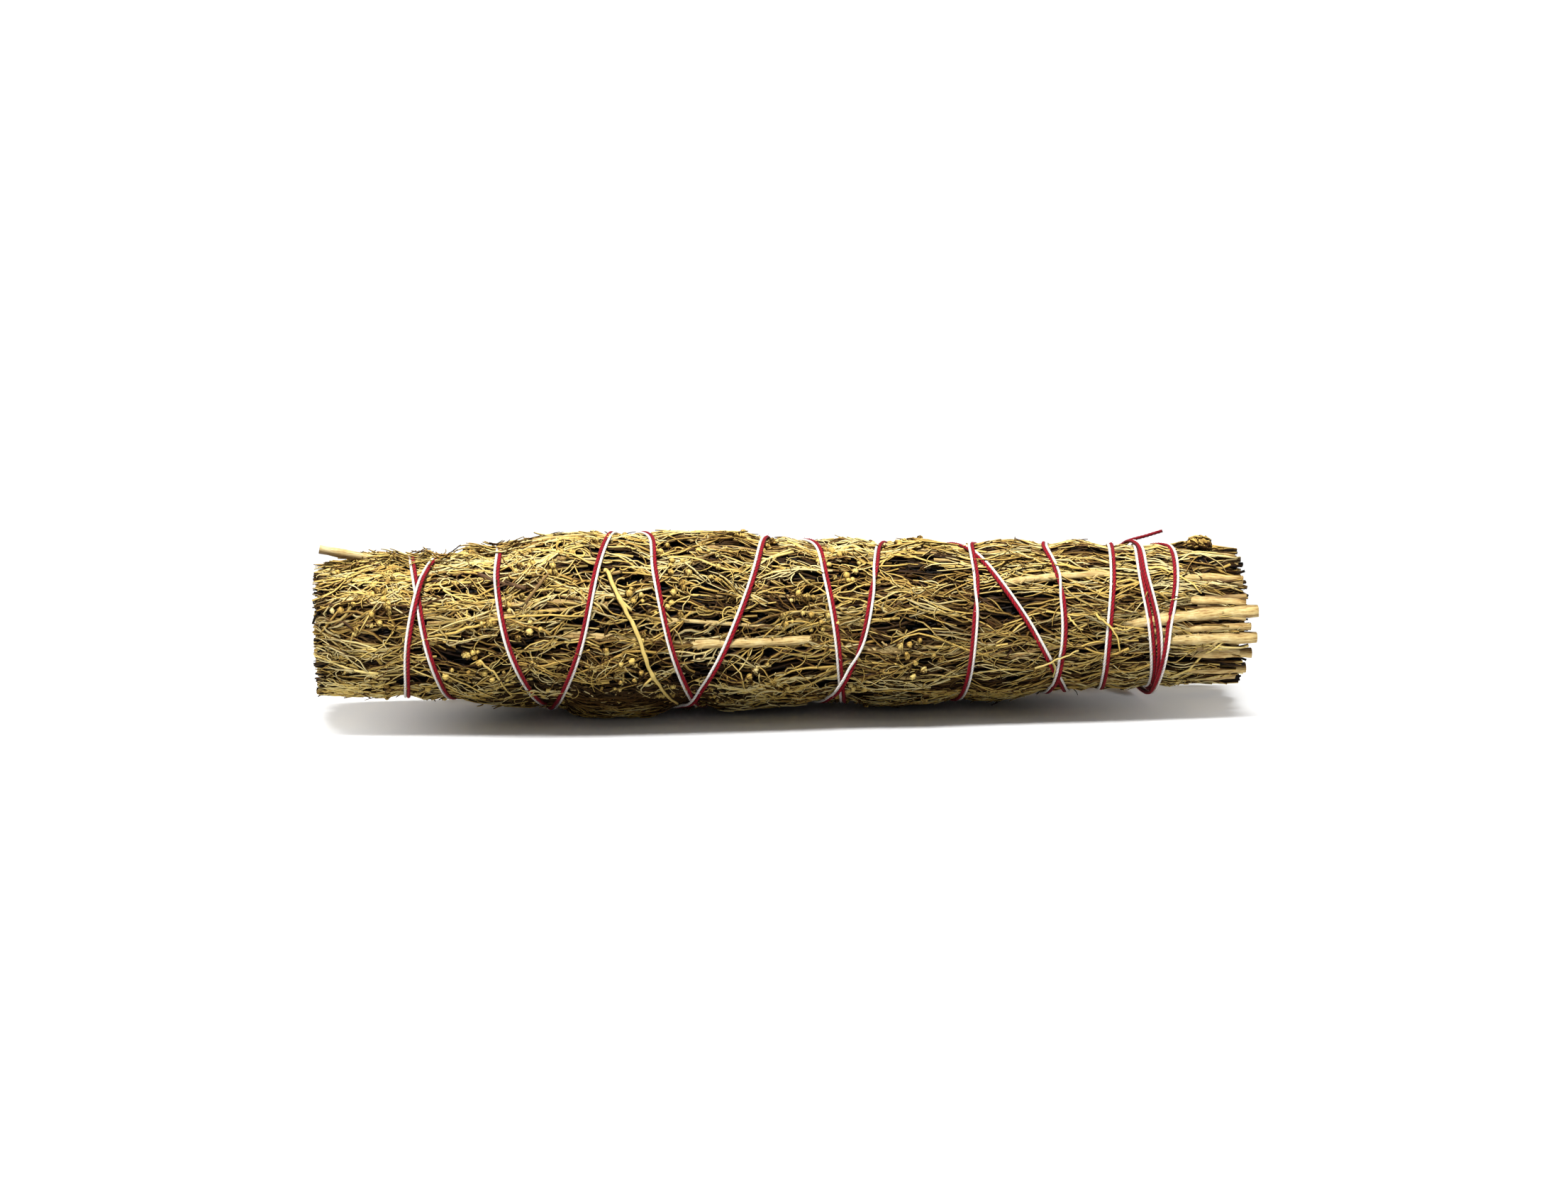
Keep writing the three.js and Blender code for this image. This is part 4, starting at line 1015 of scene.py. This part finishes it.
for sprig in range(OUTER_SPRIGS):
    rng = np.random.default_rng(40 + sprig)
    pile = Pile()
    # Painted shade: the body under the leaves is painted near black.
    pile.tubes(outer_core(rng, sprig)[None], 0.12, 0.06)
    for count, layer in MATS:
        mat(pile, rng, sprig, count, layer)
    for count, layer in SPRAYS:
        sprays(pile, rng, sprig, count, layer)
    if sprig in FULL_SPRIGS:
        sprays(pile, rng, sprig, FULL_SPRIGS[sprig], (-0.3, 0.12), -88, -40)
    strays(pile, rng, sprig, STRAYS, TIP_END + 3, BUTT_END + 2)
    coils(pile, rng, sprig, COILS)
    buds(pile, rng, sprig, BUD_CLUSTERS)
    edges = (seam_angle(sprig, TIP_END) + 0.03, seam_angle(sprig + 1, TIP_END) - 0.03)
    cut_ends(pile, rng, SPRIG_ENDS, (0.55, 0.96), edges)
    for first, last, start, end, radius in of_sprig(SURFACE_STEMS, sprig):
        x = np.linspace(start, end, max(8, round((end - start) / 2)))
        t = (x - start) / (end - start)
        dip = np.exp(-((t / 0.12) ** 2)) + (np.exp(-(((1 - t) / 0.12) ** 2)) if end < 90 else 0)
        angle = (first + (last - first) * t) * DEGREE
        woody(pile, rng, x, angle, -0.55 * radius - 1.1 * radius * dip, radius, 0.72, sides=12)
    for angle, end, radius in of_sprig(BUTT_STEMS, sprig):
        x = np.linspace(end - 22, end, 12)
        lift = -radius - 0.25 - 1.2 * np.clip((end - 12 - x) / 8, 0, 1)
        woody(pile, rng, x, angle * DEGREE, lift, radius, 0.6, sides=12, knots=False)
    for radius, tone, height, route in of_sprig(LOOSE_STEMS, sprig):
        row = np.linspace(0, len(route) - 1, 14)
        x, angle = along_route(route, row)
        angle = (angle + rng.normal(0, 0.5, 14)) * DEGREE
        lift = leaf_height(x, angle) + 0.1 if height is None else np.full(14, height)
        taper = radius * np.linspace(1.15, 0.7, 14)
        pile.strands(lay(x, angle, lift - 0.3 * taper, taper)[None], taper[None], 7, tone, 1.0)
    for _ in range(SUNKEN_STEMS):
        start = rng.uniform(-95, 70)
        x = np.linspace(start, min(start + rng.uniform(22, 46), BUTT_END + 2), 14)
        lean = rng.normal(0, 0.06) * (x - start) / MEAN_RADIUS
        angle = seam_angle(sprig, start) + SECTOR * rng.uniform(0.1, 0.9) + lean
        radius = rng.uniform(0.45, 0.8)
        lift = leaf_height(x, angle) - radius - rng.uniform(0.1, 0.7)
        woody(pile, rng, x, angle, lift, radius, rng.uniform(0.35, 0.75), sides=7)
    for start, first, last, end, radius in of_sprig(FINE_BUTT_STEMS, sprig):
        x, angle = np.linspace(start, end, 12), np.linspace(first, last, 12) * DEGREE
        woody(pile, rng, x, angle, np.full(12, -0.6 * radius), radius, 0.6, sides=9, knots=False)
    if sprig == 1:
        sagging(pile, rng, SAGGING_LEAVES)
    if sprig == 4:
        dark_fork(pile, rng)
    if sprig == 5:
        tip_stem(pile, rng)
    for patch in of_sprig(RAISED_STRAYS, sprig):
        strays(pile, rng, sprig, *patch)
    if sprig == 5:
        burl(pile, rng)
    leafy = pile.piece(f"leafy_sprig_{sprig + 1}", [LEAF, STEM])
    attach(leafy, "root")
    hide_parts(f"outer_sprig_{sprig + 1}")


# The broken twig that lies slantwise across the front, caught under nothing but the threads: a pale bare
# stem, bent round the bundle, with the stumps of two side twigs.
pile = Pile()
rng = np.random.default_rng(9)
TWIG_RINGS = 90
TWIG_CORNERS = 14
TWIG_SEAT = 0.3
# Where side twigs broke off: the ring, and how far the stump goes along the bundle.
TWIG_KNOTS = ((24, 2.6), (64, -2.2))
row = np.linspace(0, len(TWIG_ROUTE) - 1, TWIG_RINGS)
x, angle = along_route(TWIG_ROUTE, row)
x = x + 0.10 * np.sin(2.9 * row) + 0.06 * np.sin(7.3 * row)
angle = angle * DEGREE
knots = sum(np.exp(-(((np.arange(TWIG_RINGS) - ring) / 2.2) ** 2)) for ring, aside in TWIG_KNOTS)
taper = 1.05 - 0.45 * row / (len(TWIG_ROUTE) - 1)
radii = TWIG_RADIUS * taper * (1 + 0.06 * np.sin(5 * row) + 0.3 * knots)
path = bundle_point(x, angle, TWIG_SEAT + radii)
spin = np.arange(TWIG_CORNERS) * TURN / TWIG_CORNERS
rough = 0.05 * rng.normal(0, 1, (TWIG_RINGS, TWIG_CORNERS))
ridges = 0.13 * np.cos(3 * spin + 0.5 * row[:, None]) + rough
pile.strands(path[None], radii[None], TWIG_CORNERS, 0.72, 1.0, shape=1 + ridges[None])
for ring, aside in TWIG_KNOTS:
    t = np.linspace(0, 1, 5)
    out = TWIG_SEAT + radii[ring] * (1 + 0.4 * t)
    stump = bundle_point(x[ring] + aside * t, angle[ring] - 0.12 * t, out)
    pile.strands(stump[None], 0.42 - 0.1 * t[None], 6, 0.7, 1.0)
twig = pile.piece("broken_twig", [LEAF, STEM])
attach(twig, "root")
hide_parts("crossing_twig")


# The two cotton threads that hold the bundle: one crimson, one off-white, three plies each, wound side by
# side from the butt to the tips and back. They turn over one another here and there. At the butt the
# crimson one is knotted round the end of the other, and its cut tail stands off to the side.
STEPS_A_TURN = 360
PLY_CORNERS = 6
PLY_STEP = 0.5
# Where the threads cross what they wound before, they rise by a layer: wholly when nearer to it than the
# first of these, and not at all beyond the second.
PAIR_REACH = (1.45, 2.7)
LAYER = 0.84
# Where white goes over to the side of the butt, or back, by turns made; how long that takes, as half a
# share of a turn; how much it lifts the pair; and how upright they stand over one another.
SWAPS = [0.75, 1.75, 2.144, 3.174, 3.75, 4.128, 4.28, 5.75, 6.75, 11.75, 13.75]
SWAP_REACH = 0.035
SWAP_HEIGHT = 0.39
SWAP_ROUND = 0.85
# Over how many steps the threads' height is smoothed.
SMOOTHED = 15
# The thread colours run from the darkest painted shade, in the grooves and at the sides, to the outside.
CRIMSON = [
    (0.0, (0.070, 0.001, 0.004)),
    (0.45, (0.270, 0.003, 0.012)),
    (1.0, (0.520, 0.006, 0.018)),
]
OFF_WHITE = [
    (0.0, (0.60, 0.53, 0.45)),
    (0.5, (0.93, 0.90, 0.85)),
    (1.0, (1.00, 0.99, 0.96)),
]
turns = np.arange(THREAD_FIRST[0], THREAD_LAST[0], 1 / STEPS_A_TURN)
across = thread_x(turns)
level = np.zeros(len(turns))
for i in range(len(turns) - 1, -1, -1):
    under = np.arange(i + STEPS_A_TURN, len(turns), STEPS_A_TURN)
    if len(under):
        apart = np.abs(across[under] - across[i])
        close = np.clip((PAIR_REACH[1] - apart) / (PAIR_REACH[1] - PAIR_REACH[0]), 0, 1)
        level[i] = ((3 - 2 * close) * close**2 * (level[under] + LAYER)).max()
window = np.hanning(SMOOTHED)
padded = np.pad(level, SMOOTHED // 2, mode="edge")
level = np.convolve(padded, window / window.sum(), "valid")
lift = THREAD_LIFT + level
swapped = sum(
    np.clip((turns - swap) / (2 * SWAP_REACH) + 0.5, 0, 1) * (1 if i % 2 else -1)
    for i, swap in enumerate(SWAPS))
roll = math.pi * (1 + swapped)
lift = lift + SWAP_HEIGHT * np.abs(np.sin(roll))
angle = thread_angle(turns)
middle = bundle_point(across, angle, lift)
outward = unit(bundle_point(across, angle, lift + 1) - middle)
forward = unit(np.gradient(middle, axis=0))
aside = np.cross(outward, forward)
aside *= np.sign(aside[:, :1])
offset = 0.5 * THREAD_SPACING * (
    -np.cos(roll)[:, None] * aside + SWAP_ROUND * np.sin(roll)[:, None] * outward)
white_path = middle + offset
red_path = middle - offset

# The knot, one and a quarter turns round the end of the white thread, and the tail by how far it goes
# along the bundle and out from it.
KNOT_TURNS = 1.25
KNOT_STEP = 0.9
KNOT_RADIUS = 2 * THREAD_RADIUS + 0.2
TAIL = np.array([[0.4, 1.8], [1.6, 3.4], [4.2, 5.0], [8.1, 6.2], [12.3, 7.7]])
ahead = np.array([1.0, 0, 0])
out = outward[-1]
end = white_path[-1] + 0.95 * out
along = unit(end - white_path[-12])
above = np.cross(ahead, along)
above = unit(above * np.sign(above @ out))
share = np.linspace(0, 1, 60)[:, None]
spin = TURN * KNOT_TURNS * share
loop = KNOT_RADIUS * (ahead * np.cos(spin) + above * np.sin(spin))
knot = end + along * (KNOT_STEP * KNOT_TURNS * share - 1.4) + loop
tail = knot[-1] + TAIL @ np.array([ahead, out])
white_path = np.concatenate([white_path[:-14], end + along * np.linspace(-1.2, 1.8, 12)[:, None]])
red_path = np.concatenate([red_path[:-8], knot, tail])


def evened(path, step):
    """Points at an even step along a path, with its corners rounded."""
    for _ in range(3):
        length = np.concatenate([[0], np.cumsum(np.linalg.norm(np.diff(path, axis=0), axis=1))])
        at = np.linspace(0, length[-1], max(2, round(length[-1] / step)))
        path = np.stack([np.interp(at, length, column) for column in path.T], 1)
        path[1:-1] = (path[:-2] + 2 * path[1:-1] + path[2:]) / 4
    return path


def plied(path, groove):
    """The rings of a three-ply thread: each ring's corners turn one place against the last ring's."""
    path = evened(path, PLY_STEP)
    corner = np.arange(PLY_CORNERS)[None] - np.arange(len(path))[:, None]
    return path, np.where(corner % (PLY_CORNERS // 3) == 0, groove, 1.0)


def cotton(name, colours, shine):
    """Twisted cotton, with painted shade in the grooves between its plies and at its sides."""
    yarn = Finish(
        name, Roughness=0.9, Specular_IOR_Level=0.2, Sheen_Weight=shine, Sheen_Roughness=0.5)
    fibres = yarn.streaks((2.2, 9.0), 2.5, 3.0, 0.65, 0.7)
    wear = yarn.mottle(160.0, 2.0)
    # Painted shade from the mark; the fibres, the wear and the tint are the cotton's own colour.
    tone = yarn.mark("depth") * 0.75 + (fibres - 0.5) * 0.5 + (wear - 0.5) * 0.3 + yarn.mark("tint")
    yarn.feed("Base Color", yarn.ramp(colours, tone))
    yarn.feed("Roughness", 0.75 + fibres * 0.25)
    yarn.bump(0.5, 0.00008, fibres)
    return yarn.material


# Painted shade: how light a thread is painted at its sides and in its grooves, next to 1 on its outside.
THREAD_SIDE_LIGHT = 0.6
GROOVE_LIGHT = 0.15
HAIRS = 260
HAIR_RADII = (0.035, 0.03, 0.02)


def fuzz(pile, rng, path, count):
    """Fine hairs of cotton that stand off a thread."""
    at = rng.integers(2, len(path) - 2, count)
    ahead = unit(path[at + 1] - path[at - 1])
    way = unit(np.cross(ahead, rng.normal(0, 1, (count, 3))))
    t = np.array([0.0, 0.5, 1.0])
    reach = rng.uniform(0.25, 0.7, count)[:, None] * t
    drift = rng.uniform(-0.7, 0.7, count)[:, None] * t**1.5
    aside = way[:, None] * (0.3 + reach)[..., None]
    hair = path[at][:, None] + aside + ahead[:, None] * drift[..., None]
    hair[..., 2] = np.maximum(hair[..., 2], 0.05)
    # The hairs get a little painted shade.
    pile.strands(hair, [HAIR_RADII], 3, 0.1, 0.8)


for name, node, slot, colours, path, thickness, groove, shine in (
    ("crimson_thread", "red_thread", "thread_red", CRIMSON, red_path, 0.46, 0.78, 0.05),
    ("off_white_thread", "white_thread", "thread_white", OFF_WHITE, white_path, 0.34, 0.90, 0.1),
):
    rng = np.random.default_rng(77)
    pile = Pile(THREAD_SIDE_LIGHT)
    path, plies = plied(path, groove)
    path[:, 2] = np.maximum(path[:, 2], thickness)
    radii = thickness * (1 + 0.04 * np.sin(np.arange(len(path)) / 9.0))
    # Painted shade in the grooves between the plies.
    depth = np.where(plies < 1, GROOVE_LIGHT, 1.0)
    pile.strands(
        path[None], radii[None], PLY_CORNERS, 0.0, depth[None], shape=plies[None], cut=150)
    fuzz(pile, rng, path, HAIRS)
    thread = pile.piece(name, [cotton(name, colours, shine)])
    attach(thread, "root")
    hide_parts(node)


# The floor that it lies on and the soft light of a white studio. The camera is where the photo was taken
# from: a long lens in front, a little above, and turned so that the butt is slightly further away.
FLOOR = 4.0
floor_mesh = bpy.data.meshes.new("floor")
floor_corners = [(FLOOR * x, FLOOR * y, 0) for x, y in ((-1, -1), (1, -1), (1, 1), (-1, 1))]
floor_mesh.from_pydata(floor_corners, [], [(0, 1, 2, 3)])
floor = placed("floor", floor_mesh)
paper = Finish("white_paper", Roughness=0.8, Specular_IOR_Level=0.2)
tooth = paper.mottle(700.0, 3.0)
paper.feed("Base Color", paper.mix(tooth, (0.90, 0.905, 0.91, 1), (0.93, 0.93, 0.93, 1)))
floor_mesh.materials.append(paper.material)

world = bpy.data.worlds.new("studio")
bpy.context.scene.world = world
world.use_nodes = True
glow = world.node_tree.nodes["Background"]
glow.inputs["Color"].default_value = (*WHITE, 1)
glow.inputs["Strength"].default_value = 0.1
bundle = bpy.data.collections.new("bundle")
backdrop = bpy.data.collections.new("backdrop")
for made in bpy.context.scene.objects:
    (backdrop if made == floor else bundle).objects.link(made)


def shine(name, light, direction, power, reached):
    """Puts a light in the scene, to shine from a direction on what is in a collection."""
    light.energy = power
    made = placed(name, light)
    made.rotation_mode = "QUATERNION"
    made.rotation_quaternion = Vector(direction).to_track_quat("Z", "Y")
    made.light_linking.receiver_collection = reached
    return made


# Softboxes so far off that they light evenly: name, direction, how wide each is seen from the bundle,
# power, colour, and what it lights. A row of five makes one long strip over the floor.
STRIP_PLACES = (-0.35, -0.18, 0.0, 0.16, 0.32)
SOFTBOXES = [
    ("overhead", (0.0, 0.05, 1.0), 60, 1.7, (1.0, 0.99, 0.97), bundle),
    ("above", (0.0, 0.1, 1.0), 50, 0.25, WHITE, backdrop),
    ("front", (-0.2, -0.44, 0.9), 8, 4.95, (1.0, 0.98, 0.95), bundle),
]
for part, along in enumerate(STRIP_PLACES, 1):
    SOFTBOXES.append((f"strip_{part}", (along, 0.22, 1.0), 9, 0.70, WHITE, backdrop))
for name, direction, width, power, colour, reached in SOFTBOXES:
    light = bpy.data.lights.new(name, "SUN")
    light.angle = width * DEGREE
    light.color = colour
    shine(name, light, direction, power, reached)

# Low lamps reach in under the two ends, where the bundle stands off the floor: name, power, place, and
# what each is aimed at.
LOW_LAMP_WIDTH = 18 * DEGREE
LOW_LAMP_SIZE = 0.02
for name, power, place, aimed_at in (
    ("low_lamp_tips", 8.5, (-0.17, -0.25, 0.06), (-0.116, -0.012, 0)),
    ("low_lamp_butt", 4.6, (0.19, -0.25, 0.06), (0.113, -0.012, 0)),
):
    lamp = bpy.data.lights.new(name, "SPOT")
    lamp.shadow_soft_size = LOW_LAMP_SIZE
    lamp.spot_size = LOW_LAMP_WIDTH
    lamp.spot_blend = 1.0
    shine(name, lamp, Vector(place) - Vector(aimed_at), power, backdrop).location = place

ELEVATION = 12 * DEGREE
YAW = -3.8 * DEGREE
ROLL = -0.3 * DEGREE
LENS = 100.0
SENSOR = 36.0
FRAME_WIDTH = 0.3680
# The point that the camera looks at, and how far the photo's middle is from it, across and up.
LOOKED_AT = (0.0004, 0, 0.0205)
SHIFT = (0, 0.0059, 0)
back = Vector((
    math.sin(YAW) * math.cos(ELEVATION), -math.cos(YAW) * math.cos(ELEVATION), math.sin(ELEVATION)))
facing = (-back).to_track_quat("-Z", "Y")
camera = placed("camera", bpy.data.cameras.new("camera"))
camera.data.lens = LENS
camera.data.sensor_width = SENSOR
camera.rotation_mode = "QUATERNION"
camera.rotation_quaternion = facing @ Quaternion((0, 0, 1), ROLL)
middle = Vector(LOOKED_AT) + facing @ Vector(SHIFT)
camera.location = middle + back * (FRAME_WIDTH * LENS / SENSOR)
bpy.context.scene.camera = camera
bpy.context.scene.view_settings.view_transform = "Standard"
